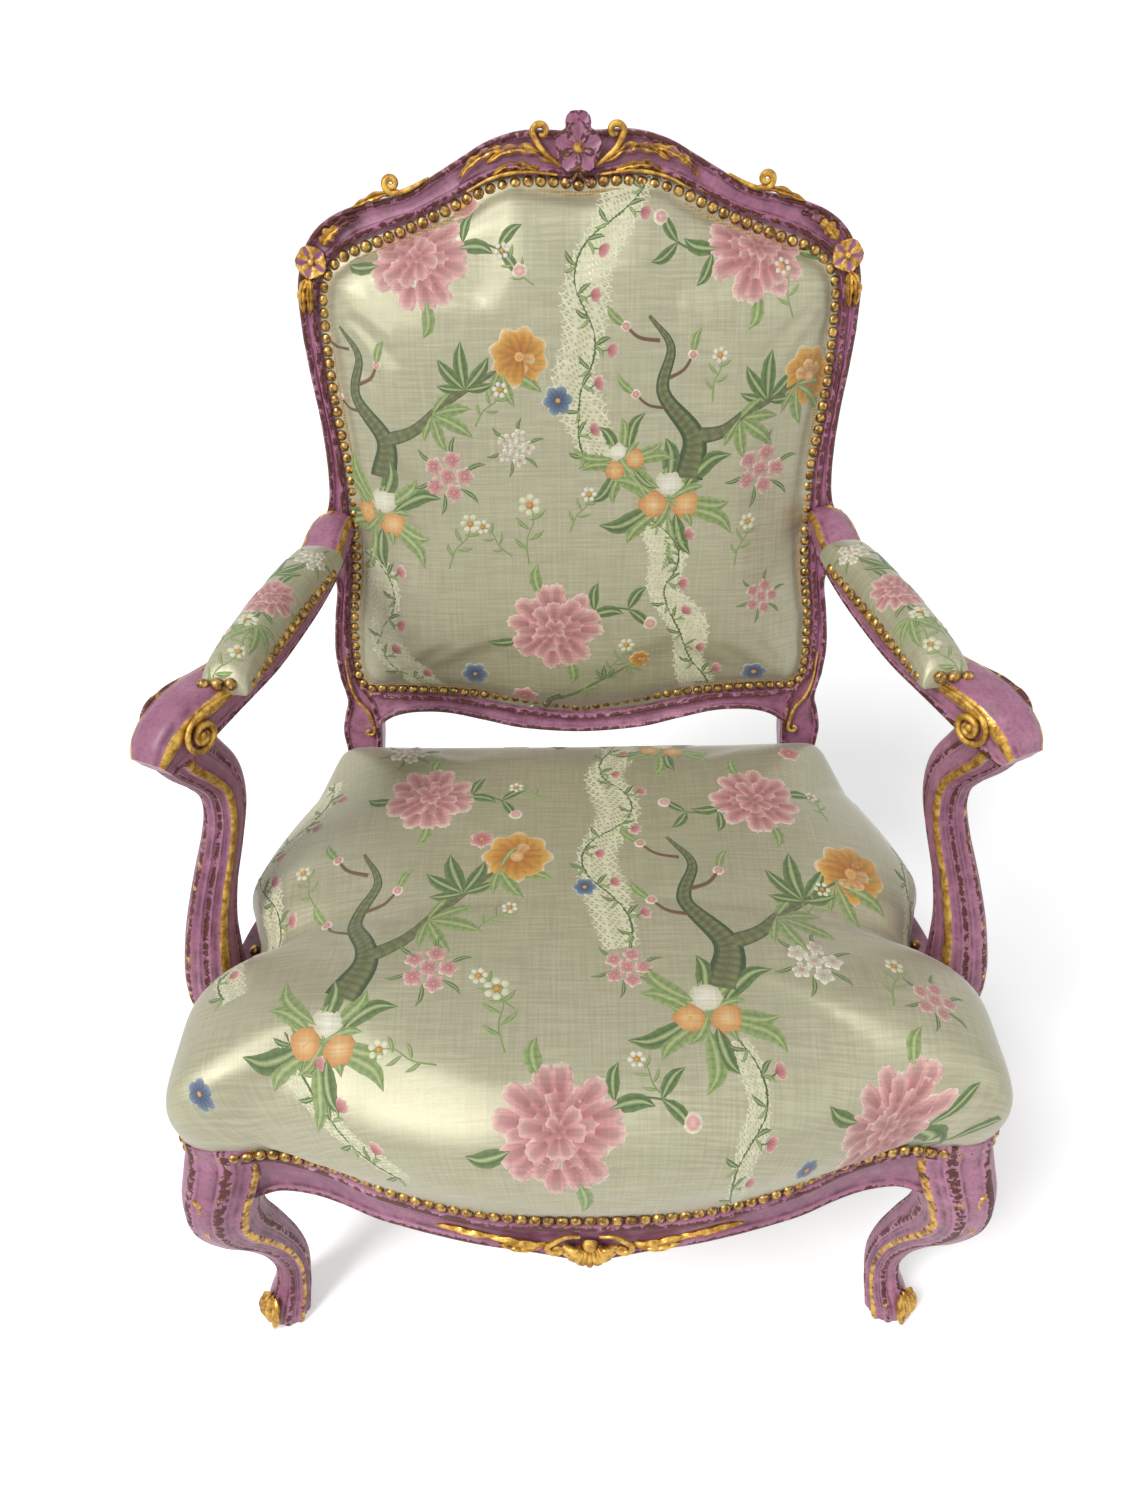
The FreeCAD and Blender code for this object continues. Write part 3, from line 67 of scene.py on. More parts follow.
def unit(v):
    v = np.asarray(v, float)
    length = np.linalg.norm(v, axis=-1, keepdims=True)
    return v / np.where(length < 1e-9, 1.0, length)


def back_point(x, v, out=0.0):
    """A point of the back's plane, moved out of its front face."""
    s, c = math.sin(RAKE), math.cos(RAKE)
    x, v, out = np.broadcast_arrays(np.asarray(x, float), v, out)
    return np.stack([x, BACK_Y + v * s - out * c, BACK_Z + v * c + out * s], axis=-1)


def smooth(points, count):
    """A Catmull-Rom curve through the points, spaced evenly; columns after the third ride along."""
    p = np.asarray(points, float)
    wide = np.vstack([2 * p[0] - p[1], p, 2 * p[-1] - p[-2]])
    t = np.linspace(0, 1, 13)[:-1, None]
    runs = []
    for a, b, c, d in zip(wide, wide[1:], wide[2:], wide[3:]):
        runs.append(
            0.5
            * (2 * b + (c - a) * t + (2 * a - 5 * b + 4 * c - d) * t**2 + (3 * b - 3 * c + d - a) * t**3)
        )
    runs.append(p[-1:])
    fine = np.vstack(runs)
    step = np.linalg.norm(np.diff(fine[:, :3], axis=0), axis=1)
    length = np.concatenate([[0], np.cumsum(step)])
    at = np.linspace(0, length[-1], count)
    return np.stack([np.interp(at, length, fine[:, k]) for k in range(p.shape[1])], axis=1)


def mirror_x(points):
    flipped = np.array(points, float)
    flipped[..., 0] *= -1
    return flipped


class Mesh:
    """Vertices and faces of one piece, with masks that its material reads."""

    def __init__(self):
        self.points = []
        self.faces = []
        self.masks = []
        self.count = 0

    def add(self, points, faces, mask):
        self.points.append(points)
        self.masks.append(mask)
        self.faces.extend([tuple(self.count + i for i in face) for face in faces])
        self.count += len(points)

    def rings(self, rings, gilt=0.0, ridge=0.4, shape=None):
        """A closed skin over rings of points, laid in place by shape where one is given."""
        rings = np.asarray(rings, float)
        n, m = rings.shape[:2]
        mask = np.empty((n, m, 2))
        mask[..., 0] = gilt
        mask[..., 1] = ridge
        points = rings if shape is None else shape(rings)
        faces = []
        for i in range(n - 1):
            for k in range(m):
                l = (k + 1) % m
                faces.append((i * m + k, i * m + l, (i + 1) * m + l, (i + 1) * m + k))
        points = points.reshape(-1, 3)
        mask = mask.reshape(-1, 2)
        points = np.vstack([points, points[:m].mean(0), points[-m:].mean(0)])
        mask = np.vstack([mask, mask[:m].mean(0), mask[-m:].mean(0)])
        for k in range(m):
            l = (k + 1) % m
            faces.append((n * m, l, k))
            faces.append((n * m + 1, (n - 1) * m + k, (n - 1) * m + l))
        self.add(points, faces, mask)

    def both(self, other):
        """Take in another mesh and its mirror image."""
        for flip in (False, True):
            points = np.vstack(other.points)
            faces = other.faces
            if flip:
                points = mirror_x(points)
                faces = [tuple(reversed(face)) for face in faces]
            self.add(points, faces, np.vstack(other.masks))

    def mirrored(self):
        other = Mesh()
        other.add(
            mirror_x(np.vstack(self.points)), [tuple(reversed(f)) for f in self.faces],
            np.vstack(self.masks)
        )
        return other

    def build(self, name, material):
        points = np.vstack(self.points) * MM
        points[:, 2] = np.maximum(points[:, 2], 0.0)
        masks = np.vstack(self.masks)
        data = bpy.data.meshes.new(name)
        data.from_pydata(points.tolist(), [], self.faces)
        for number, mask_name in enumerate(("gilt", "ridge")):
            layer = data.attributes.new(mask_name, "FLOAT", "POINT")
            layer.data.foreach_set("value", masks[:, number].astype(np.float32))
        data.materials.append(material)
        data.validate()
        work = bmesh.new()
        work.from_mesh(data)
        bmesh.ops.recalc_face_normals(work, faces=work.faces)
        work.to_mesh(data)
        work.free()
        data.polygons.foreach_set("use_smooth", [True] * len(data.polygons))
        data.set_sharp_from_angle(angle=SHARP_ANGLE)
        thing = bpy.data.objects.new(name, data)
        bpy.context.collection.objects.link(thing)
        return thing


def declare(thing, slot, *nodes):
    """The piece rides on the frame and stands for CAD nodes, which it hides; slot is not used."""
    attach(thing, "root")
    if nodes:
        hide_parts(*nodes)
    return thing


# Ornaments, drawn in a flat frame (across, up, out) and then laid on the woodwork

def tube(path, radii, sides=10):
    """Rings of a tapered tube along a path."""
    path = np.asarray(path, float)
    radii = np.broadcast_to(np.asarray(radii, float), len(path))
    tangent = unit(np.gradient(path, axis=0))
    side = unit(np.cross(tangent, [0.0, 0.0, 1.0]))
    other = np.cross(side, tangent)
    angle = np.linspace(0, 2 * math.pi, sides, endpoint=False)
    ring = np.cos(angle)[:, None] * side[:, None, :] + np.sin(angle)[:, None] * other[:, None, :]
    return path[:, None, :] + radii[:, None, None] * ring


def spiral(centre, start_radius, end_radius, start_angle, turns, count=40, height=(0.0, 0.0)):
    t = np.linspace(0, 1, count)
    radius = start_radius + (end_radius - start_radius) * t**0.8
    angle = math.radians(start_angle) + turns * 2 * math.pi * t
    lift = height[0] + (height[1] - height[0]) * t
    return np.stack([centre[0] + radius * np.cos(angle), centre[1] + radius * np.sin(angle), lift], axis=1)


def taper(count, start, middle, end):
    return np.interp(np.linspace(0, 1, count), [0, 0.5, 1], [start, middle, end])


def leaf_rings(path, wide, thick, lobes=0, depth=0.0):
    """A carved leaf: a bent blade with a groove down its middle and lobed edges."""
    path = np.asarray(path, float)
    n = len(path)
    t = np.linspace(0, 1, n)
    half = wide * np.sin(math.pi * t**0.8) ** 0.7 + 0.3
    if lobes:
        half *= 1 - depth * np.abs(np.cos(math.pi * lobes * t)) ** 3
    tangent = unit(np.gradient(path, axis=0))
    side = unit(np.cross(tangent, [0.0, 0.0, 1.0]))
    out = np.array([0.0, 0.0, 1.0])
    across = np.array([-1.0, -0.55, -0.12, 0.0, 0.12, 0.55, 1.0, 0.0])
    rise = np.array([0.1, 1.0, 0.75, 0.45, 0.75, 1.0, 0.1, -1.2])
    lift = thick * np.sin(math.pi * np.clip(t, 0.03, 0.97)) ** 0.5
    rings = path[:, None, :] + half[:, None, None] * across[None, :, None] * side[:, None, :]
    return rings + (lift[:, None] * rise[None, :])[..., None] * out


def bead(centre, radius, rise):
    """Rings of a low dome."""
    t = np.linspace(0, math.pi / 2 * 0.97, 6)
    angle = np.linspace(0, 2 * math.pi, 12, endpoint=False)
    rings = []
    for step in t:
        r = radius * math.cos(step)
        ring = np.stack(
            [
                centre[0] + r * np.cos(angle), centre[1] + r * np.sin(angle),
                np.full(12, centre[2] + rise * math.sin(step))
            ],
            1
        )
        rings.append(ring)
    return np.array(rings)


def flower(mesh, place, centre, radius, petals=5, rise=5.0, turn=90.0, gilt=0.25):
    """A carved flower: dished petals round a boss, laid on the wood by place."""
    cx, cy, cz = centre
    for number in range(petals):
        angle = math.radians(turn + 360 * number / petals)
        way = np.array([math.cos(angle), math.sin(angle)])
        left = np.array([-way[1], way[0]])
        rings = []
        for t in np.linspace(0, 1, 9):
            half = 0.62 * radius * math.sin(math.pi * (0.12 + 0.82 * t)) ** 0.75 + 0.2
            mid = np.array([cx, cy]) + way * radius * (0.18 + 0.8 * t)
            ring = []
            for s, lift in (
                (-1, 0.55), (-0.7, 1.0), (-0.3, 0.6), (0, 0.45), (0.3, 0.6), (0.7, 1.0), (1, 0.55),
                (0.5, -0.8), (-0.5, -0.8)
            ):
                droop = 1 - 0.35 * t**3
                h = cz + rise * (0.35 + 0.5 * t) * lift * droop if lift > 0 else cz - rise
                p = mid + left * half * s
                ring.append((p[0], p[1], h))
            rings.append(ring)
        ridge = np.array([0.8, 1.0, 0.5, 0.1, 0.5, 1.0, 0.8, 0.2, 0.2])
        mesh.rings(np.array(rings), gilt=gilt * ridge, ridge=ridge, shape=place)
    mesh.rings(bead((cx, cy, cz + 0.2 * rise), 0.24 * radius, 0.8 * rise), gilt=0.5, ridge=0.9, shape=place)


# The moulded frame of the back: pairs of points (outer edge, nail line) in the back's plane, right half

CREST_PAIRS = (
    (0, 586, 0, 544), (45, 587, 40, 548), (75, 580, 70, 546), (97, 569, 90, 538), (
        121, 556, 113, 527
    ), (150, 541, 141, 515),
    (
        191, 532, 178, 504
    ), (
        218, 522, 200, 494
    ), (236, 507, 214, 485), (246, 488, 224, 472), (252, 462, 229, 453), (252, 424, 230, 424),
)
STILE_PAIRS = (
    (252, 424, 230, 424), (249, 390, 229, 388), (245, 355, 226, 352), (
        243, 322, 222.5, 320
    ), (243, 293, 221, 290), (246, 268, 221.5, 265),
    (254, 250, 222, 248), (260, 233, 222, 231), (
        254, 210, 223.5, 208
    ), (247, 185, 226.5, 183), (252, 151, 231.5, 151),
    (256, 113, 233, 114), (254, 82, 231, 84),
)
POST_EDGES = (
    (254, 82, 237.5, 84), (249, 56, 223, 62), (253, 40, 216.5, 36), (257, 19, 216.5, 9),
    (255, -5, 219, -16), (254, -40, 221, -45), (254, -72, 221, -72)
)
RAIL_PAIRS = (
    (0, 16, 0, 44), (63, 21, 54, 49), (104, 31, 92, 57), (
        143, 40, 138, 66
    ), (177, 41, 172, 68), (200, 36, 205, 70), (216, 26, 232, 74),
)


def moulding(width, floor):
    """The section of the back frame from its outer edge: distance in, height, gilt and ridge."""
    w = width
    cove = np.linspace(0, 1, 7)[1:-1]
    dip = -1.8 - 1.6 * np.sin(math.pi * cove) * min(1.0, w / 24)
    front = [
        (
            0.0, -FRAME_DEEP + 5, 0, 0.5
        ), (0.0, -7.0, 0, 0.3), (0.3, -2.6, 0, 0.7), (1.2, 0.2, 0, 0.9), (2.8, 1.6, 0.25, 1.0),
        (4.5, 1.2, 0.25, 1.0), (5.8, -0.4, 0.1, 0.6), (6.6, -2.0, 0, 0.0),
    ]
    for t, h in zip(cove, dip):
        front.append((6.6 + (w - 12.6) * t, h, 0, 0.25))
    front += [
        (w - 6.0, -2.0, 0, 0.0), (
            w - 5.2, -0.3, 0.1, 0.6
        ), (w - 3.6, 1.3, 0.3, 1.0), (w - 1.8, 1.0, 0.3, 1.0), (w - 0.6, -0.6, 0.1, 0.8),
        (w, -REBATE, 0, 0.1), (w + floor, -REBATE, 0, 0.1), (w + floor, -FRAME_DEEP + 3, 0, 0.3),
        (w + floor - 3, -FRAME_DEEP, 0, 0.5), (4.0, -FRAME_DEEP, 0, 0.5),
    ]
    return np.array(front)


def frame_run(mesh, pairs, count, nail_line=True, floor=14.0):
    """Sweep the moulding between two edges of the back frame."""
    table = smooth([(a, b, 0, c, d) for a, b, c, d in pairs], count)
    outer = table[:, :2]
    inner = table[:, 3:]
    span = inner - outer
    width = np.linalg.norm(span, axis=1)
    way = span / width[:, None]
    rings, gilt, ridge = [], [], []
    for k in range(count):
        section = moulding(width[k] - (NAIL_EDGE if nail_line else 0), floor)
        spot = outer[k] + section[:, :1] * way[k]
        rings.append(back_point(spot[:, 0], spot[:, 1], section[:, 1]))
        gilt.append(section[:, 2])
        ridge.append(section[:, 3])
    mesh.rings(np.array(rings), gilt=np.array(gilt), ridge=np.array(ridge))


def on_back(rings):
    return back_point(rings[..., 0], rings[..., 1], rings[..., 2])


def build_crest(material):
    whole = Mesh()
    pairs = [(-a, b, -c, d) for a, b, c, d in reversed(CREST_PAIRS[1:])] + list(CREST_PAIRS)
    frame_run(whole, list(reversed(pairs)), 220)
    flower(whole, on_back, (0, 573, 4), 20, 5, 8.0, 90, 0.3)
    flower(whole, on_back, (0, 590, -2), 12, 4, 6.0, 45, 0.2)
    half = Mesh()
    # C scrolls beside the flower
    curl = np.vstack(
        [
            smooth([(15, 560, 1), (30, 571, 3), (38, 583, 4)], 14)[:-1],
            spiral((31, 585), 8, 1.5, 0, 0.9, 26, (4, 3))
        ]
    )
    half.rings(tube(curl, taper(len(curl), 2.0, 3.0, 1.6), 10), gilt=0.9, ridge=1.0, shape=on_back)
    # stem that bows down to the inner edge
    stem = smooth([(0, 560, 2), (3, 551, 1.5), (10, 547, 0.5)], 10)
    half.rings(tube(stem, 1.6), gilt=0.4, ridge=0.9, shape=on_back)
    # leaf arcs that run out along the crest
    for path, wide in (
        ([(22, 562, 0), (40, 572, 2), (60, 572, 2), (80, 562, 0)], 4.5),
        ([(30, 556, 0), (46, 560, 2), (62, 560, 2), (74, 553, 0)], 3.5),
        ([(60, 574, 0), (76, 571, 2), (92, 562, 2), (104, 549, 0)], 4.0),
    ):
        half.rings(leaf_rings(smooth(path, 26), wide, 2.6, 4, 0.45), gilt=0.5, ridge=0.9, shape=on_back)
    rib = smooth([(18, 553, 1), (48, 555.5, 1.5), (74, 551, 1.5), (96, 541, 1)], 30)
    half.rings(tube(rib, taper(30, 1.0, 1.9, 0.8)), gilt=1.0, ridge=1.0, shape=on_back)
    # small volute on the shoulder with its tail of leaf
    curl = np.vstack(
        [
            smooth([(128, 552, -1), (142, 545, 2), (155, 540, 3)], 16)[:-1],
            spiral((160, 548), 8, 1.4, -125, 1.35, 40, (3, 4))
        ]
    )
    half.rings(tube(curl, taper(len(curl), 1.2, 3.2, 2.2)), gilt=0.75, ridge=1.0, shape=on_back)
    half.rings(
        leaf_rings(smooth([(154, 543, 0), (176, 538, 2), (196, 530, 1)], 20), 3.6, 2.4, 3, 0.4), gilt=0.7,
        ridge=0.9, shape=on_back
    )
    # corner flower with a bud above and a husk below
    flower(half, on_back, (236, 487, 1), 14, 5, 5.0, 70, 0.8)
    half.rings(
        leaf_rings(smooth([(226, 500, 0), (219, 508, 3), (208, 516, 1)], 18), 6, 3.4, 3, 0.4), gilt=0.6,
        ridge=0.9, shape=on_back
    )
    half.rings(
        leaf_rings(smooth([(214, 512, 0), (204, 519, 3), (190, 523, 1)], 18), 4.5, 3.0, 3, 0.4), gilt=0.3,
        ridge=0.9, shape=on_back
    )
    for shift in (-4, 3):
        husk = smooth([(241 + shift * 0.3, 474, 0), (244 + shift, 462, 3), (245 + shift * 0.8, 444, 1)], 18)
        half.rings(leaf_rings(husk, 4.2, 3.2, 3, 0.35), gilt=0.6, ridge=0.9, shape=on_back)
    whole.both(half)
    return declare(whole.build("crest_carved", material), "painted_wood", "crest_rail")


def rounded_ring(cx, cy, wide, deep, z, power=4.0, count=28):
    """A rounded rectangle about a centre at a height."""
    angle = np.linspace(0, 2 * math.pi, count, endpoint=False)
    c, s = np.cos(angle), np.sin(angle)
    r = (np.abs(c) ** power + np.abs(s) ** power) ** (-1 / power)
    return np.stack([cx + wide / 2 * r * c, cy + deep / 2 * r * s, np.full(count, z)], axis=1)


REAR_LEG = (
    # height, x, y, width, depth
    (0, 223, 285, 34, 34), (40, 221, 273, 31, 31), (119, 222, 242.5, 33, 34), (198, 230, 218.7, 37, 40),
    (262, 237, 195, 40, 42), (300, 237, 194, 40, 42), (338, 237, 194, 40, 42),
)


def build_post(material, side):
    half = Mesh()
    frame_run(half, STILE_PAIRS, 150)
    frame_run(half, POST_EDGES, 60, nail_line=False, floor=0.5)
    table = smooth([(row[1], row[2], row[0], row[3], row[4]) for row in REAR_LEG], 60)
    half.rings(np.array([rounded_ring(x, y, w, d, z) for x, y, z, w, d in table]), ridge=0.5)
    # leaf collar where the arm leaves the stile, and the reeded slope above it
    for number, (path, wide) in enumerate((
        ([(238, 262, 0), (252, 254, 4), (262, 244, 2)], 5.5),
        ([(236, 250, 0), (250, 243, 4), (260, 236, 2)], 4.5),
        ([(236, 238, 0), (248, 233, 4), (257, 229, 1)], 4.0),
    )):
        half.rings(
            leaf_rings(smooth(path, 16), wide, 3.4, 3, 0.35), gilt=0.75 if number == 0 else 0.35,
            ridge=0.9, shape=on_back
        )
    # gilt bead that turns in at the foot of the stile
    hook = np.vstack(
        [
            smooth([(246, 108, 1), (244, 78, 1), (238, 58, 1), (228, 44, 1), (223, 26, 1)], 40)[:-1],
            spiral((228, 20), 6, 1.5, 170, 0.8, 20, (1, 2))
        ]
    )
    half.rings(tube(hook, taper(len(hook), 0.8, 2.0, 1.6)), gilt=0.95, ridge=1.0, shape=on_back)
    if side == "left":
        half = half.mirrored()
    return declare(half.build("post_carved_" + side, material), "painted_wood", "rear_post_" + side)


def build_lower_rail(material):
    whole = Mesh()
    pairs = [(-a, b, -c, d) for a, b, c, d in reversed(RAIL_PAIRS[1:])] + list(RAIL_PAIRS)
    frame_run(whole, pairs, 140, floor=12.0)
    return declare(whole.build("lower_rail_carved", material), "painted_wood", "lower_back_rail")


# Arms, supports, legs and rails: members swept along a curve through space

def member_section(count, power, ribs):
    """A rounded section of unit size: its points, and masks that mark the ribs by angle in degrees."""
    angle = np.linspace(0, 360, count, endpoint=False)
    a = np.radians(angle)
    r = (np.abs(np.cos(a)) ** power + np.abs(np.sin(a)) ** power) ** (-1 / power)
    rise = np.zeros(count)
    gilt = np.zeros(count)
    ridge = np.full(count, 0.35)
    for centre, width, tall, gold in ribs:
        away = np.abs((angle - centre + 180) % 360 - 180) / width
        bump = np.clip(1 - away**2, 0, 1) ** 0.5
        groove = np.exp(-((away - 1.45) ** 2) / 0.12)
        rise += tall * bump - 0.55 * tall * groove
        gilt = np.maximum(gilt, gold * (bump > 0.35))
        ridge = np.where(bump > 0.25, 0.6 + 0.4 * bump, ridge) - 0.35 * groove
    return np.stack([r * np.cos(a), r * np.sin(a)], 1), rise, gilt, np.clip(ridge, 0, 1)


def swept(mesh, stations, count, section, up=(0, 0, 1)):
    """Sweep a section along stations of (x, y, z, width, depth); width lies across up."""
    table = smooth(stations, count)
    path = table[:, :3]
    tangent = unit(np.gradient(path, axis=0))
    across = unit(np.cross(tangent, np.asarray(up, float)))
    over = np.cross(across, tangent)
    points, rise, gilt, ridge = section
    reach = unit(points)
    wide = table[:, 3][:, None] / 2 * points[None, :, 0] + rise[None, :] * reach[None, :, 0]
    deep = table[:, 4][:, None] / 2 * points[None, :, 1] + rise[None, :] * reach[None, :, 1]
    rings = path[:, None, :] + wide[..., None] * across[:, None, :] + deep[..., None] * over[:, None, :]
    mesh.rings(rings[:, ::-1], gilt=gilt[::-1][None, :], ridge=ridge[::-1][None, :])


ARM_PATH = (
    # x, y, z, width, height
    (
        238, 236, 642, 30, 30
    ), (243, 214, 641, 36, 34), (248, 180, 634, 38, 30), (256, 130, 629, 38, 26), (267, 80, 627, 39, 26),
    (279, 30, 628, 41, 28), (293, -8, 630, 44, 33), (
        308, -36, 629, 47, 42
    ), (321, -58, 625, 46, 48), (333, -78, 616, 40, 42), (339, -91, 607, 30, 26),
)
SUPPORT_PATH = (
    (
        328, -62, 612, 40, 52
    ), (326, -52, 592, 37, 50), (321, -36, 566, 34, 46), (317, -23, 538, 34, 43), (319, -20, 505, 34, 42),
    (
        327, -27, 470, 35, 42
    ), (
        338, -42, 430, 38, 43
    ), (346, -56, 390, 43, 47), (350, -65, 352, 49, 53), (351, -68, 330, 51, 55), (351, -68, 318, 51, 55),
)


def build_arm(material, side):
    half = Mesh()
    ribs = ((150, 13, 1.6, 1.0), (30, 13, 1.4, 0.8), (205, 11, 1.2, 0.0), (-28, 11, 1.2, 0.0))
    swept(half, ARM_PATH, 110, member_section(56, 3.2, ribs))
    # the spiral on the inner cheek of the knuckle, and a plainer one outside
    way = unit(np.array([333 - 293, -78 + 8, 0.0]))
    inward = np.array([way[1], -way[0], 0.0])
    for sign, gold in ((1, 1.0), (-1, 0.35)):
        centre = np.array([320, -58, 622.0]) + sign * inward * 22

        def cheek(rings):
            return centre + rings[..., :1] * way + rings[..., 1:2] * np.array(
                [0, 0, 1.0]
            ) + sign * rings[..., 2:3] * inward

        curl = np.vstack(
            [
                smooth([(-62, 15, 0), (-36, 19, 1), (-14, 21, 2), (2, 19.5, 2)], 24)[:-1],
                spiral((3, 2), 18, 2.5, 88, -1.9, 70, (2, 4))
            ]
        )
        rings = tube(curl, taper(len(curl), 1.4, 3.0, 2.4), 10)
        half.rings(rings if sign > 0 else rings[:, ::-1], gilt=gold, ridge=1.0, shape=cheek)
        dome = bead((3, 2, 2.5), 4.2, 3.5)
        half.rings(dome if sign > 0 else dome[:, ::-1], gilt=gold, ridge=1.0, shape=cheek)
    if side == "left":
        half = half.mirrored()
    return declare(half.build("arm_carved_" + side, material), "painted_wood", "arm_" + side)


def build_support(material, side):
    half = Mesh()
    ribs = (
        (233, 9, 1.7, 1.0), (307, 9, 1.5, 0.35), (180, 8, 1.0, 0.0), (0, 8, 1.0, 0.0), (270, 8, -1.2, 0.0)
    )
    swept(half, SUPPORT_PATH, 110, member_section(64, 3.4, ribs), up=(0, 1, 0))
    if side == "left":
        half = half.mirrored()
    return declare(half.build("support_carved_" + side, material), "painted_wood", "arm_support_" + side)


LEG_PATH = (
    (
        308, -222, 326, 70, 66
    ), (
        309, -224, 300, 72, 68
    ), (315, -231, 276, 70, 70), (322, -240, 250, 66, 66), (324, -243, 222, 60, 60),
    (
        318, -238, 188, 50, 50
    ), (307, -228, 152, 40, 40), (298, -219, 112, 33, 33), (294, -216, 76, 31, 31), (297, -219, 44, 34, 34),
    (303, -226, 20, 40, 40), (306, -230, 4, 42, 42), (306, -230, 0, 40, 40),
)


def build_front_leg(material, side):
    half = Mesh()
    ribs = (
        (225, 10, 2.0, 0.5), (262, 9, 1.5, 0.3), (188, 9, 1.5, 0.3), (310, 8, 1.3, 0.0), (140, 8, 1.3, 0.0)
    )
    swept(half, LEG_PATH, 130, member_section(72, 2.6, ribs), up=(0, 1, 0))
    outward = unit(np.array([0.72, -0.7, 0.0]))
    left = np.array([outward[1], -outward[0], 0.0])

    def knee(rings):
        foot = np.array([333, -254, 0.0])
        swell = 10 * np.cos(np.clip((rings[..., 1:2] - 246) / 60, -1.4, 1.4))
        return foot + rings[..., :1] * left + rings[..., 1:2] * np.array([0, 0, 1.0]) + (
            rings[..., 2:3] + swell
        ) * outward

    flower(half, knee, (0, 262, 0), 15, 5, 5.0, 90, 0.7)
    for sign in (-1, 1):
        path = smooth(
            [(sign * 5, 244, 0), (sign * 11, 228, 2), (sign * 7, 210, 0), (sign * 2, 190, -6)], 24
        )
        half.rings(leaf_rings(path, 5.5, 3.0, 4, 0.4), gilt=0.6, ridge=0.9, shape=knee)
    half.rings(
        leaf_rings(smooth([(0, 250, 0), (0, 222, 3), (0, 196, -2), (0, 176, -10)], 26), 6, 3.4, 5, 0.4),
        gilt=0.8, ridge=0.9, shape=knee
    )

    def toe(rings):
        foot = np.array([318, -244, 0.0])
        lean = 6 - 0.35 * rings[..., 1:2] + 0.002 * rings[..., 1:2] ** 2
        return foot + rings[..., :1] * left + rings[..., 1:2] * np.array([0, 0, 1.0]) + (
            rings[..., 2:3] + lean
        ) * outward

    for sign in (-1, 0, 1):
        path = smooth([(sign * 4, 42, -1), (sign * 10, 30, 2), (sign * 11, 14, 2), (sign * 6, 2, 0)], 20)
        half.rings(leaf_rings(path, 6.0, 4.0, 3, 0.35), gilt=0.9, ridge=0.9, shape=toe)
    if side == "left":
        half = half.mirrored()
    return declare(half.build("leg_carved_" + side, material), "painted_wood", "front_leg_" + side)


FRONT_EDGE = ((0, -313), (85, -308), (165, -287), (215, -265), (262, -251), (285, -252), (305, -256))
SIDE_EDGE = ((347, -182), (350, -150), (351, -110), (345, -60), (334, 0), (312, 66), (287, 120), (259, 172))


def rail_section(low, high):
    """A seat rail's moulded face: distance out, height, gilt and ridge, running round the section."""
    return np.array([
        (-34, high - 19, 0, 0.2), (-34, low + 3, 0, 0.3), (-31, low, 0, 0.4), (-5, low, 0, 0.6), (
            -1.5, low + 0.8, 0.1, 0.9
        ),
        (
            1.0, low + 3.0, 0.3, 1.0
        ), (
            1.2, low + 5.6, 0.3, 1.0
        ), (-0.4, low + 7.6, 0, 0.5), (-2.2, low + 8.6, 0, 0.0), (-3.4, low + 13, 0, 0.25),
        (
            -3.6, low + 19, 0, 0.25
        ), (-2.6, low + 25, 0, 0.2), (-1.0, high - 25, 0, 0.3), (-0.2, high - 24, 0, 0.0),
        (1.2, high - 22.6, 0.2, 1.0), (1.0, high - 20, 0.2, 1.0), (-0.6, high - 19, 0, 0.7), (
            -REBATE, high - 18.6, 0, 0.1
        ),
        (-REBATE - 1, high - 2, 0, 0.1), (-30, high - 2, 0, 0.3),
    ])


def rail_run(mesh, edge, count, low_at, both=False):
    points = [(-a, b) for a, b in reversed(edge[1:])] + list(edge) if both else list(edge)
    table = smooth([(a, b, 0) for a, b in points], count)[:, :2]
    along = unit(np.gradient(table, axis=0))
    out = np.stack([along[:, 1], -along[:, 0]], 1)
    rings, gilt, ridge = [], [], []
    for k in range(count):
        section = rail_section(low_at(table[k]), RAIL_TOP)
        spot = table[k] + section[:, :1] * out[k]
        rings.append(np.column_stack([spot, section[:, 1]]))
        gilt.append(section[:, 2])
        ridge.append(section[:, 3])
    mesh.rings(np.array(rings), gilt=np.array(gilt), ridge=np.array(ridge))


def front_low(point):
    """How low the front rail's scalloped edge hangs."""
    x = abs(point[0])
    return 266 + 7 * math.sin(
        math.pi * min(x / 210, 1.0)
    ) - 10 * math.exp(-((x / 34) ** 2)) - 14 * max(0.0, (x - 225) / 60) ** 1.5


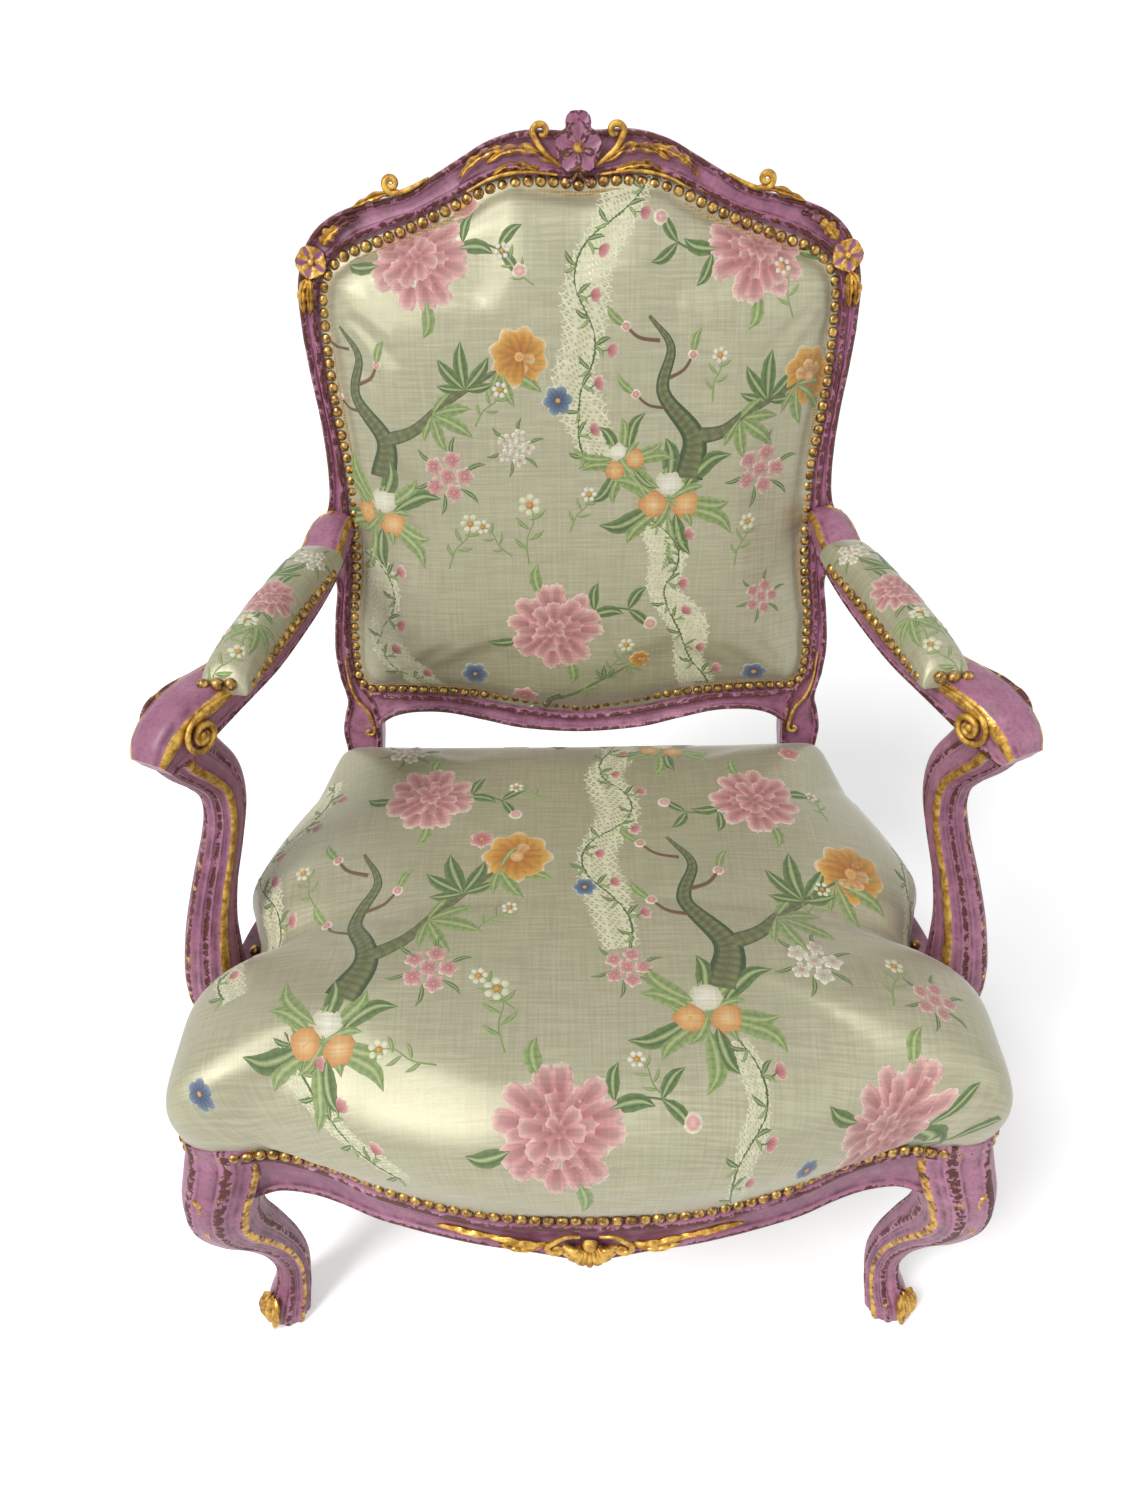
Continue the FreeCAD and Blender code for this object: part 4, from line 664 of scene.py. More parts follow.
def build_front_rail(material):
    whole = Mesh()
    rail_run(whole, FRONT_EDGE, 220, front_low, both=True)

    def face(rings):
        x = rings[..., 0]
        edge = np.array(smooth([(a, b, 0) for a, b in FRONT_EDGE], 60))
        y = np.interp(np.abs(x), edge[:, 0], edge[:, 1])
        return np.stack([x, y - rings[..., 2], rings[..., 1]], -1)

    # the shell: nine flutes that fan out from a bead
    for number in range(-4, 5):
        angle = math.radians(-90 + number * 21)
        long = 26 - abs(number) * 1.3
        path = [
            (8 * math.cos(angle), 286 + 8 * math.sin(angle), 2),
            (0.6 * long * math.cos(angle), 286 + 0.75 * long * math.sin(angle), 6),
            (long * math.cos(angle), 286 + 1.12 * long * math.sin(angle), 2)
        ]
        whole.rings(tube(smooth(path, 16), taper(16, 1.6, 3.6, 3.2), 10), gilt=0.65, ridge=0.9, shape=face)
    whole.rings(bead((0, 287, 1), 7, 6), gilt=0.9, ridge=1.0, shape=face)
    half = Mesh()
    curl = np.vstack(
        [
            smooth([(8, 298, 1), (20, 300, 3), (30, 292, 4)], 14)[:-1],
            spiral((27, 283), 9, 1.5, 65, -1.1, 34, (4, 4))
        ]
    )
    half.rings(tube(curl, taper(len(curl), 1.4, 3.0, 1.8)), gilt=0.8, ridge=1.0, shape=face)
    for path, wide in (
        ([(30, 284, 0), (48, 288, 3), (68, 292, 2), (86, 291, 0)], 5.0),
        ([(38, 279, 0), (56, 279, 2), (74, 282, 1)], 3.6),
        ([(70, 291, 0), (92, 296, 2), (112, 296, 1), (126, 292, 0)], 3.6),
    ):
        half.rings(leaf_rings(smooth(path, 26), wide, 2.8, 4, 0.45), gilt=0.75, ridge=0.9, shape=face)
    whole.both(half)
    return declare(whole.build("front_rail_carved", material), "painted_wood", "front_rail")


def build_side_rail(material, side):
    half = Mesh()
    rail_run(
        half, SIDE_EDGE, 90,
        lambda point: 267 + 6 * math.sin(math.pi * min(max((point[1] + 182) / 354, 0), 1))
    )
    if side == "left":
        half = half.mirrored()
    return declare(half.build("side_rail_carved_" + side, material), "painted_wood", "side_rail_" + side)


# Cushions: each is a grid over an outline, with flat cloth coordinates that the woven pattern follows

def closed_curve(half, count):
    """An evenly spaced loop from the points of its right half, front or bottom centre first."""
    points = np.array(half, float)
    left = mirror_x(points[1:-1])[::-1]
    loop = np.vstack([points, left])
    wrapped = np.vstack([loop, loop[:1]])
    table = smooth([(x, y, 0) for x, y in wrapped], count * 8 + 1)[:-1, :2]
    return table


def nearest(loop, place):
    return int(np.argmin(np.hypot(loop[:, 0] - place[0], loop[:, 1] - place[1])))


def resample(run, count):
    return smooth([(x, y, 0) for x, y in run], count)[:, :2]


def square_rim(loop, corners, cells):
    """The outline cut at its four corners, front right first, and put round a square grid."""
    marks = [nearest(loop, corner) for corner in corners]
    sides = []
    for number in range(4):
        a, b = marks[number - 1], marks[number]
        run = loop[a:b + 1] if a < b else np.vstack([loop[a:], loop[:b + 1]])
        sides.append(resample(run[::4] if len(run) > 40 else run, cells + 1))
    return sides


class Cushion:
    """The grid of a pad: its points in space and in flat cloth coordinates."""

    def __init__(self, across, along):
        self.across, self.along = across, along
        self.space = np.zeros((across + 1, along + 1, 3))
        self.flat = np.zeros((across + 1, along + 1, 2))

    def faces(self):
        m = self.along + 1
        return [
            (i * m + j, (i + 1) * m + j, (i + 1) * m + j + 1, i * m + j + 1) for i in range(self.across)
            for j in range(self.along)
        ]


def domed_cushion(half_outline, corners, centre, cells, profile_at, place):
    """A cushion over an outline. profile_at gives (inset, height) rows for a rim point, rim first."""
    loop = closed_curve(half_outline, 400)
    front, right, back, left = square_rim(loop, corners, cells)
    cushion = Cushion(cells, cells)
    centre = np.array(centre, float)
    for i in range(cells + 1):
        for j in range(cells + 1):
            a, b = 2 * i / cells - 1, 2 * j / cells - 1
            rho = max(abs(a), abs(b))
            if rho < 1e-9:
                u, w = 0.0, -1.0
            else:
                u, w = a / rho, b / rho
            if w <= -0.999999:
                side, t = front, (u + 1) / 2
            elif u >= 0.999999:
                side, t = right, (w + 1) / 2
            elif w >= 0.999999:
                side, t = back, (1 - u) / 2
            else:
                side, t = left, (1 - w) / 2
            at = t * cells
            k = min(int(at), cells - 1)
            rim = side[k] + (side[k + 1] - side[k]) * (at - k)
            reach = np.linalg.norm(rim - centre)
            way = (rim - centre) / reach
            rows = profile_at(rim, reach)
            step = np.hypot(np.diff(rows[:, 0]), np.diff(rows[:, 1]))
            length = np.concatenate([[0], np.cumsum(step)])
            s = (1 - rho) * length[-1]
            inset = np.interp(s, length, rows[:, 0])
            height = np.interp(s, length, rows[:, 1])
            spot = rim - way * inset
            cushion.space[i, j] = place(spot[0], spot[1], height)
            cushion.flat[i, j] = centre + way * (length[-1] - s)
    return cushion


SEAT_OUTLINE = (
    (0, -309), (85, -304), (
        165, -283.5
    ), (215, -262), (262, -248), (295, -251.5), (322, -251), (338, -241), (344, -222), (346, -180),
    (346, -138), (341, -114), (328, -99), (317, -82), (311.5, -60), (312, -38), (316, -20), (320, 0),
    (306, 55), (283, 113), (263, 156),
    (252, 169), (232, 173), (120, 174), (0, 174),
)
SEAT_CENTRE = (0, -70)
SIDE_ROLL = np.array(
    [
        (0, 312), (-0.5, 322), (-4.5, 336), (-7.5, 350), (-7.5, 364), (-4, 378), (4, 391), (17, 402.5),
        (36, 412), (64, 419.5), (105, 425.5), (165, 430)
    ],
    float
)
BACK_ROLL = np.array(
    [
        (0, 332.5), (-2.5, 350), (-3.5, 372), (-3.5, 392), (-1, 406), (6, 417), (17, 423.5), (34, 427),
        (60, 429), (105, 430.5), (165, 431.5)
    ],
    float
)
SEAT_CROWN = 432.0


def spline_rows(rows):
    return smooth([(a, b, 0) for a, b in rows], 44)[:, :2]


SIDE_ROWS, BACK_ROWS = spline_rows(SIDE_ROLL), spline_rows(BACK_ROLL)
# beside the arm supports the cover is drawn down to nails on the rail
DIP_ROWS = spline_rows(
    [(0, 334), (5, 343), (12, 355), (24, 371), (42, 389), (66, 405), (104, 418), (165, 428)]
)


def seat_profile(rim, reach):
    share = float(np.clip((rim[1] - 120) / 45, 0, 1))
    dip = math.exp(-(((rim[1] + 90) / 34) ** 2)) * (abs(rim[0]) > 300)
    rows = SIDE_ROWS * (1 - share) + BACK_ROWS * share
    rows = rows * (1 - dip) + DIP_ROWS * dip
    keep = rows[rows[:, 0] < reach * 0.62]
    return np.vstack([keep, [(reach, SEAT_CROWN)]])


def build_seat_cushion(cells=120):
    corners = ((338, -241), (252, 169), (-252, 169), (-338, -241))
    return domed_cushion(SEAT_OUTLINE, corners, SEAT_CENTRE, cells, seat_profile, lambda x, y, z: (x, y, z))


BACK_OUTLINE = (
    (0, 44), (54, 49), (88, 56), (123, 64), (157, 68), (193, 69), (220, 73), (231, 88), (233, 118),
    (232, 151), (227, 181), (222.5, 218), (221.5, 250), (221, 290), (223, 325), (227, 365), (229.5, 400),
    (230, 433), (228, 460), (221, 479), (200, 494), (175, 504),
    (147, 513), (119, 524), (93, 537), (75, 544), (56, 548), (26, 546.5), (0, 544),
)
BACK_CENTRE = (0, 290)
BACK_ROLL_ROWS = spline_rows(
    [
        (-4.6, -3.4), (-4.4, -2.6), (2, -2.4), (5.6, -1.4), (7.0, 2.5), (9, 7.5), (14, 13), (24, 18.5),
        (42, 23), (68, 26.5), (110, 29)
    ]
)


def back_profile(rim, reach):
    keep = BACK_ROLL_ROWS[BACK_ROLL_ROWS[:, 0] < reach * 0.6]
    return np.vstack([keep, [(reach, 30.0)]])


def build_back_cushion(cells=112):
    corners = ((228, 80), (222, 478), (-222, 478), (-228, 80))
    return domed_cushion(
        BACK_OUTLINE, corners, BACK_CENTRE, cells, back_profile, lambda x, v, out: back_point(x, v, out)
    )


PAD_LINE = ((243.5, 172), (247, 148), (258.5, 106), (270.5, 58), (279.5, 10), (288, -41))


def build_arm_cushion(across=36, along=96):
    spine = smooth([(x, y, 0) for x, y in PAD_LINE], along + 1)[:, :2]
    ahead = unit(np.gradient(spine, axis=0))
    outward = np.stack([-ahead[:, 1], ahead[:, 0]], 1) * -1
    run = np.concatenate([[0], np.cumsum(np.linalg.norm(np.diff(spine, axis=0), axis=1))])
    cushion = Cushion(across, along)
    for j in range(along + 1):
        t = 2 * j / along - 1
        ends = (1 - abs(t) ** 7) ** 0.45
        half = 21.5 * (0.9 + 0.1 * ends)
        tall = 27.0 * ends
        for i in range(across + 1):
            a = 2 * i / across - 1
            turn = math.pi / 2 * a
            x = half * math.copysign(abs(math.sin(turn)) ** 0.8, turn)
            z = 641 + tall * math.cos(turn) ** 0.72 if abs(a) < 1 else 641
            spot = spine[j] + outward[j] * x
            cushion.space[i, j] = (spot[0], spot[1], z)
            cushion.flat[i, j] = (a * 36.0, run[-1] - run[j])
    return cushion


def simulate(thing, rim, cap, pressure=4.0):
    """Let the cover fill out under the stuffing's pressure, held along its nailed rim."""
    start = np.array([v.co for v in thing.data.vertices])
    held = thing.vertex_groups.new(name="held")
    held.add(rim, 1.0, "REPLACE")
    cloth = thing.modifiers.new("cloth", "CLOTH")
    settings = cloth.settings
    settings.vertex_group_mass = "held"
    settings.quality = 5
    settings.mass = 0.4
    settings.use_pressure = True
    settings.uniform_pressure_force = pressure
    settings.tension_stiffness = 30
    settings.compression_stiffness = 30
    settings.shear_stiffness = 12
    settings.bending_stiffness = 1.5
    settings.effector_weights.gravity = 0
    cloth.collision_settings.use_collision = False
    cloth.point_cache.frame_start, cloth.point_cache.frame_end = 1, 20
    scene = bpy.context.scene
    for number in range(1, 21):
        scene.frame_set(number)
    depsgraph = bpy.context.evaluated_depsgraph_get()
    settled = thing.evaluated_get(depsgraph).to_mesh()
    end = np.array([v.co for v in settled.vertices])
    thing.evaluated_get(depsgraph).to_mesh_clear()
    thing.modifiers.remove(cloth)
    thing.vertex_groups.remove(held)
    scene.frame_set(1)
    move = end - start
    size = np.linalg.norm(move, axis=1, keepdims=True)
    move *= np.minimum(1.0, cap / np.maximum(size, 1e-9))
    thing.data.vertices.foreach_set("co", (start + move).astype(np.float32).ravel())
    thing.data.update()
    return start + move


def cushion_object(name, cushion, material, cap):
    """The top of the cushion's cover, filled out by the cloth simulation, with its cloth coordinates."""
    n = (cushion.across + 1) * (cushion.along + 1)
    data = bpy.data.meshes.new(name)
    data.from_pydata((cushion.space.reshape(-1, 3) * MM).tolist(), [], cushion.faces())
    thing = bpy.data.objects.new(name, data)
    bpy.context.collection.objects.link(thing)
    index = np.arange(n).reshape(cushion.across + 1, cushion.along + 1)
    rim = np.unique(np.concatenate([index[0], index[-1], index[:, 0], index[:, -1]]))
    moved = simulate(thing, [int(k) for k in rim], cap)
    cushion.space = moved.reshape(cushion.space.shape) / MM
    layer = data.uv_layers.new(name="cloth")
    flat = cushion.flat.reshape(-1, 2) * MM
    corners = np.empty(len(data.loops), dtype=np.int32)
    data.loops.foreach_get("vertex_index", corners)
    layer.data.foreach_set("uv", flat[corners].astype(np.float32).ravel())
    data.materials.append(material)
    data.polygons.foreach_set("use_smooth", [True] * len(data.polygons))
    return thing


def close_under(thing, steps):
    """An underside joined to the rim, so that the piece is closed; each step is (inset, move or height)."""
    work = bmesh.new()
    work.from_mesh(thing.data)
    middle = Vector((0, 0, 0))
    for vertex in work.verts:
        middle += vertex.co / len(work.verts)
    for inset, move in steps:
        border = [edge for edge in work.edges if edge.is_boundary]
        made = bmesh.ops.extrude_edge_only(work, edges=border)
        for vertex in (item for item in made["geom"] if isinstance(item, bmesh.types.BMVert)):
            inward = middle - vertex.co
            inward.z = 0
            vertex.co = vertex.co + inward.normalized() * inset
            if isinstance(move, tuple):
                vertex.co = vertex.co + Vector(move)
            else:
                vertex.co.z = move
    bmesh.ops.holes_fill(work, edges=[edge for edge in work.edges if edge.is_boundary], sides=0)
    bmesh.ops.recalc_face_normals(work, faces=work.faces)
    work.to_mesh(thing.data)
    work.free()


def evaluated(thing):
    """The object's mesh with its modifiers worked in."""
    bpy.context.view_layer.update()
    made = bpy.data.meshes.new_from_object(thing.evaluated_get(bpy.context.evaluated_depsgraph_get()))
    thing.modifiers.clear()
    thing.data = made
    return thing


def smoother(thing):
    step = thing.modifiers.new("finer", "SUBSURF")
    step.levels = 1
    step.render_levels = 1
    step.uv_smooth = "PRESERVE_BOUNDARIES"
    return evaluated(thing)


# Materials, all from object space, own attributes and cloth coordinates

class Tree:
    """Short calls for building a node tree."""

    def __init__(self, tree):
        self.tree = tree
        self.nodes = tree.nodes
        self.links = tree.links

    def node(self, kind, settings=None, **inputs):
        made = self.nodes.new(kind)
        for key, item in (settings or {}).items():
            setattr(made, key, item)
        for key, item in inputs.items():
            self.feed(made, key.replace("_", " "), item)
        return made

    def feed(self, made, key, item):
        socket = made.inputs[int(key)] if key.isdigit() else made.inputs[key]
        if isinstance(item, bpy.types.NodeSocket):
            self.links.new(item, socket)
        else:
            socket.default_value = item

    def math(self, operation, a, b=0.0):
        made = self.nodes.new("ShaderNodeMath")
        made.operation = operation
        self.feed(made, "0", a)
        self.feed(made, "1", b)
        return made.outputs[0]

    def ramp(self, value, low, high):
        """The value from low to high as 0 to 1, eased."""
        made = self.nodes.new("ShaderNodeMapRange")
        made.interpolation_type = "SMOOTHSTEP"
        for key, item in (("Value", value), ("From Min", low), ("From Max", high)):
            self.feed(made, key, item)
        return made.outputs[0]

    def mix(self, share, a, b):
        made = self.nodes.new("ShaderNodeMix")
        made.data_type = "RGBA"
        for socket, item in ((made.inputs[0], share), (made.inputs[6], a), (made.inputs[7], b)):
            if isinstance(item, bpy.types.NodeSocket):
                self.links.new(item, socket)
            else:
                socket.default_value = item if not isinstance(
                    item, tuple
                ) or len(item) == 4 else (*item, 1.0)
        return made.outputs[2]

    def noise(self, vector, scale, detail=3.0, rough=0.55, stretch=None):
        if stretch:
            mapping = self.nodes.new("ShaderNodeMapping")
            mapping.inputs["Scale"].default_value = stretch
            self.links.new(vector, mapping.inputs["Vector"])
            vector = mapping.outputs[0]
        made = self.nodes.new("ShaderNodeTexNoise")
        made.inputs["Scale"].default_value = scale
        made.inputs["Detail"].default_value = detail
        made.inputs["Roughness"].default_value = rough
        self.links.new(vector, made.inputs["Vector"])
        return made.outputs["Fac"]


def new_material(name):
    material = bpy.data.materials.new(name)
    material.use_nodes = True
    tree = Tree(material.node_tree)
    return material, tree, material.node_tree.nodes["Principled BSDF"]


def colour_of(r, g, b):
    """An sRGB colour, 0 to 255, as linear light."""
    return tuple(
        (c / 255 / 12.92) if c <= 10 else ((c / 255 + 0.055) / 1.055) ** 2.4 for c in (r, g, b)
    ) + (1.0,)


def wear_and_shade_group():
    """Masks of the paint: rubbed-through bare places, fine scratches, and hollows darkened partly as grime
    and partly as painted shade.
    """
    group = bpy.data.node_groups.new("Worn paint", "ShaderNodeTree")
    for name in ("Ridge", "Amount"):
        group.interface.new_socket(name, in_out="INPUT", socket_type="NodeSocketFloat")
    for name in ("Bare", "Dirt", "Grain"):
        group.interface.new_socket(name, in_out="OUTPUT", socket_type="NodeSocketFloat")
    t = Tree(group)
    source = t.nodes.new("NodeGroupInput")
    sink = t.nodes.new("NodeGroupOutput")
    place = t.nodes.new("ShaderNodeTexCoord").outputs["Object"]
    chips = t.noise(place, 150, 6, 0.7)
    drift = t.noise(place, 22, 2)
    lengthwise = t.noise(place, 60, 5, 0.75, (1, 1, 0.22))
    crosswise = t.noise(place, 60, 5, 0.75, (0.22, 1, 1))
    scratches = t.math("MAXIMUM", t.ramp(lengthwise, 0.66, 0.72), t.ramp(crosswise, 0.68, 0.74))
    threshold = t.math(
        "SUBTRACT", 0.86,
        t.math(
            "MULTIPLY", source.outputs["Ridge"],
            t.math("ADD", source.outputs["Amount"], t.math("MULTIPLY", drift, 0.22))
        )
    )
    edge = t.ramp(t.math("SUBTRACT", chips, threshold), 0.0, 0.05)
    t.feed(sink, "Bare", t.math("MAXIMUM", edge, t.math("MULTIPLY", scratches, t.ramp(drift, 0.42, 0.6))))
    # Painted shade with grime: where the ridge mask is low, the hollows are darkened, with a noise breaking
    # it up.
    hollow = t.math("SUBTRACT", 1.0, source.outputs["Ridge"])
    t.feed(
        sink, "Dirt",
        t.math("MULTIPLY", t.math("POWER", hollow, 3.0), t.ramp(t.noise(place, 70, 4), 0.25, 0.7))
    )
    t.feed(sink, "Grain", lengthwise)
    return group


def painted_wood(group, name="painted_wood", plain=False):
    material, t, shader = new_material(name)
    gilt = t.node("ShaderNodeAttribute", {"attribute_name": "gilt"}).outputs["Fac"]
    ridge = 0.45 if plain else t.node("ShaderNodeAttribute", {"attribute_name": "ridge"}).outputs["Fac"]
    worn_and_shaded = t.node("ShaderNodeGroup", {"node_tree": group}, Ridge=ridge, Amount=0.34)
    place = t.nodes.new("ShaderNodeTexCoord").outputs["Object"]
    tone = t.ramp(t.noise(place, 9, 4), 0.3, 0.7)
    paint = t.mix(tone, colour_of(156, 98, 126), colour_of(184, 126, 152))
    paint = t.mix(
        t.math("MULTIPLY", t.ramp(t.noise(place, 300, 3), 0.45, 0.7), 0.35), paint, colour_of(108, 58, 80)
    )
    # Grime and painted shade: the paint in the hollows is darkened toward a deep shaded mauve.
    paint = t.mix(t.math("MULTIPLY", worn_and_shaded.outputs["Dirt"], 0.9), paint, colour_of(58, 24, 34))
    bare = t.mix(t.noise(place, 90, 4), colour_of(60, 24, 22), colour_of(96, 44, 36))
    base = t.mix(worn_and_shaded.outputs["Bare"], paint, bare)
    gold_noise = t.noise(place, 120, 5, 0.65)
    gold_on = t.ramp(
        t.math("ADD", gilt, t.math("MULTIPLY", t.math("SUBTRACT", gold_noise, 0.5), 0.9)), 0.36, 0.52
    )
    gold = t.mix(t.ramp(gold_noise, 0.35, 0.65), colour_of(150, 104, 40), colour_of(224, 182, 92))
    t.feed(shader, "Base Color", t.mix(gold_on, base, gold))
    t.feed(shader, "Metallic", t.math("MULTIPLY", gold_on, 0.75))
    rough = t.math("ADD", 0.4, t.math("MULTIPLY", worn_and_shaded.outputs["Bare"], 0.2))
    t.feed(shader, "Roughness", t.math("SUBTRACT", rough, t.math("MULTIPLY", gold_on, 0.08)))
    height = t.math(
        "SUBTRACT", t.math("MULTIPLY", worn_and_shaded.outputs["Grain"], 0.25),
        t.math("MULTIPLY", worn_and_shaded.outputs["Bare"], 0.5)
    )
    bump = t.node("ShaderNodeBump", Strength=0.5, Distance=0.0006, Height=height)
    t.feed(shader, "Normal", bump.outputs[0])
    return material


def nail_brass():
    material, t, shader = new_material("nail_brass")
    place = t.nodes.new("ShaderNodeTexCoord").outputs["Object"]
    patch = t.ramp(t.noise(place, 260, 4, 0.6), 0.38, 0.62)
    t.feed(shader, "Base Color", t.mix(patch, colour_of(104, 74, 40), colour_of(196, 158, 92)))
    t.feed(shader, "Metallic", 0.85)
    t.feed(shader, "Roughness", t.math("SUBTRACT", 0.46, t.math("MULTIPLY", patch, 0.16)))
    bump = t.node("ShaderNodeBump", Strength=0.3, Distance=0.0005, Height=t.noise(place, 500, 3))
    t.feed(shader, "Normal", bump.outputs[0])
    return material


def weave_group():
    """A fine satin weave in cloth coordinates: its thread height, its slubs and its soft mottle."""
    group = bpy.data.node_groups.new("Satin weave", "ShaderNodeTree")
    group.interface.new_socket("Pitch", in_out="INPUT", socket_type="NodeSocketFloat")
    for name in ("Height", "Slub", "Mottle"):
        group.interface.new_socket(name, in_out="OUTPUT", socket_type="NodeSocketFloat")
    t = Tree(group)
    source = t.nodes.new("NodeGroupInput")
    sink = t.nodes.new("NodeGroupOutput")
    place = t.node("ShaderNodeUVMap", {"uv_map": "cloth"}).outputs[0]
    split = t.node("ShaderNodeSeparateXYZ", Vector=place)
    threads = []
    for axis in ("X", "Y"):
        turn = t.math("MULTIPLY", split.outputs[axis], t.math("DIVIDE", 6.2832, source.outputs["Pitch"]))
        threads.append(t.math("SINE", turn))
    t.feed(
        sink, "Height",
        t.math("ADD", t.math("MULTIPLY", threads[0], 0.3), t.math("MULTIPLY", threads[1], 0.7))
    )
    across = t.noise(place, 420, 4, 0.6, (0.05, 1, 1))
    down = t.noise(place, 420, 4, 0.6, (1, 0.04, 1))
    t.feed(sink, "Slub", t.math("ADD", t.math("MULTIPLY", across, 0.6), t.math("MULTIPLY", down, 0.4)))
    t.feed(sink, "Mottle", t.noise(place, 14, 3))
    return group


def satin(group, name="brocade"):
    material, t, shader = new_material(name)
    weave = t.node("ShaderNodeGroup", {"node_tree": group}, Pitch=0.0007)
    slub = t.ramp(weave.outputs["Slub"], 0.4, 0.62)
    base = t.mix(slub, colour_of(166, 161, 134), colour_of(184, 180, 152))
    base = t.mix(
        t.math("MULTIPLY", t.ramp(weave.outputs["Mottle"], 0.35, 0.7), 0.35), base,
        colour_of(170, 172, 142)
    )
    t.feed(shader, "Base Color", base)
    t.feed(shader, "Roughness", t.math("ADD", 0.34, t.math("MULTIPLY", slub, 0.08)))
    t.feed(shader, "Metallic", 0.35)
    t.feed(shader, "Sheen Weight", 0.35)
    t.feed(shader, "Sheen Roughness", 0.4)
    t.feed(shader, "Anisotropic", 0.55)
    tangent = t.node("ShaderNodeTangent", {"direction_type": "UV_MAP", "uv_map": "cloth"})
    t.feed(shader, "Tangent", tangent.outputs[0])
    height = t.math("ADD", t.math("MULTIPLY", weave.outputs["Height"], 0.5), t.math("MULTIPLY", slub, 0.5))
    bump = t.node("ShaderNodeBump", Strength=0.18, Distance=0.0004, Height=height)
    t.feed(shader, "Normal", bump.outputs[0])
    return material


def plain_material(name, low, high, scale, rough, stretch=None, metallic=0.0):
    material, t, shader = new_material(name)
    place = t.nodes.new("ShaderNodeTexCoord").outputs["Object"]
    grain = t.noise(place, scale, 5, 0.6, stretch)
    t.feed(shader, "Base Color", t.mix(t.ramp(grain, 0.3, 0.7), low, high))
    t.feed(shader, "Roughness", rough)
    t.feed(shader, "Metallic", metallic)
    bump = t.node("ShaderNodeBump", Strength=0.35, Distance=0.0005, Height=grain)
    t.feed(shader, "Normal", bump.outputs[0])
    return material


def coarse_cloth(name, low, high, pitch):
    """A plain open weave for webbing and hessian."""
    material, t, shader = new_material(name)
    place = t.nodes.new("ShaderNodeTexCoord").outputs["Object"]
    split = t.node("ShaderNodeSeparateXYZ", Vector=place)
    waves = [t.math("SINE", t.math("MULTIPLY", split.outputs[axis], 6.2832 / pitch)) for axis in "XYZ"]
    weave = t.math("ADD", t.math("MULTIPLY", waves[0], waves[1]), waves[2])
    shade = t.math("ADD", t.math("MULTIPLY", weave, 0.18), t.noise(place, 300, 3))
    t.feed(shader, "Base Color", t.mix(t.ramp(shade, 0.2, 0.8), low, high))
    t.feed(shader, "Roughness", 0.9)
    bump = t.node("ShaderNodeBump", Strength=0.6, Distance=0.0008, Height=shade)
    t.feed(shader, "Normal", bump.outputs[0])
    return material


# Nails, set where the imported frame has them

def nail_places(node):
    """Where each nail's head sits and which way it faces, in metres."""
    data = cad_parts[node].data
    data.calc_loop_triangles()
    points = np.array([v.co for v in data.vertices])
    spots, same = np.unique(np.round(points, 5), axis=0, return_inverse=True)
    corners = same.reshape(-1)[np.array([t.vertices for t in data.loop_triangles])]
    label = np.arange(len(spots))
    while True:
        fresh = label.copy()
        low = label[corners].min(axis=1)
        for k in range(3):
            np.minimum.at(fresh, corners[:, k], low)
        if (fresh == label).all():
            break
        label = fresh
    places, ways = [], []
    for number in np.unique(label):
        nail = spots[label == number]
        centre = nail.mean(axis=0)
        far = np.linalg.norm(nail - centre, axis=1)
        way = unit(centre - nail[far > far.max() - 0.001].mean(axis=0))
        along = (nail - centre) @ way
        wide = np.linalg.norm(nail - centre - along[:, None] * way, axis=1)
        places.append(centre + way * along[wide > wide.max() * 0.9].min())
        ways.append(way)
    return np.array(places), np.array(ways)


def dome_head(radius, rise):
    """A nail's domed head, closed below."""
    sides = 12
    angle = np.linspace(0, 2 * math.pi, sides, endpoint=False)
    rings = []
    for turn in (-0.25, 0.0, 0.45, 0.9, 1.25):
        r = radius * math.cos(max(turn, 0.0))
        rings.append(
            np.stack([r * np.cos(angle), r * np.sin(angle), np.full(sides, rise * math.sin(turn))], 1)
        )
    points = np.vstack(rings + [[(0, 0, rise)]])
    faces = [tuple(range(sides))[::-1]]
    for i in range(4):
        faces += [
            (
                i * sides + k, i * sides + (k + 1) % sides, (i + 1) * sides + (k + 1) % sides,
                (i + 1) * sides + k
            )
            for k in range(sides)
        ]
    faces += [(4 * sides + k, 4 * sides + (k + 1) % sides, 5 * sides) for k in range(sides)]
    data = bpy.data.meshes.new("nail_head")
    data.from_pydata(points.tolist(), [], faces)
    data.polygons.foreach_set("use_smooth", [True] * len(data.polygons))
    thing = bpy.data.objects.new("nail_head", data)
    return thing


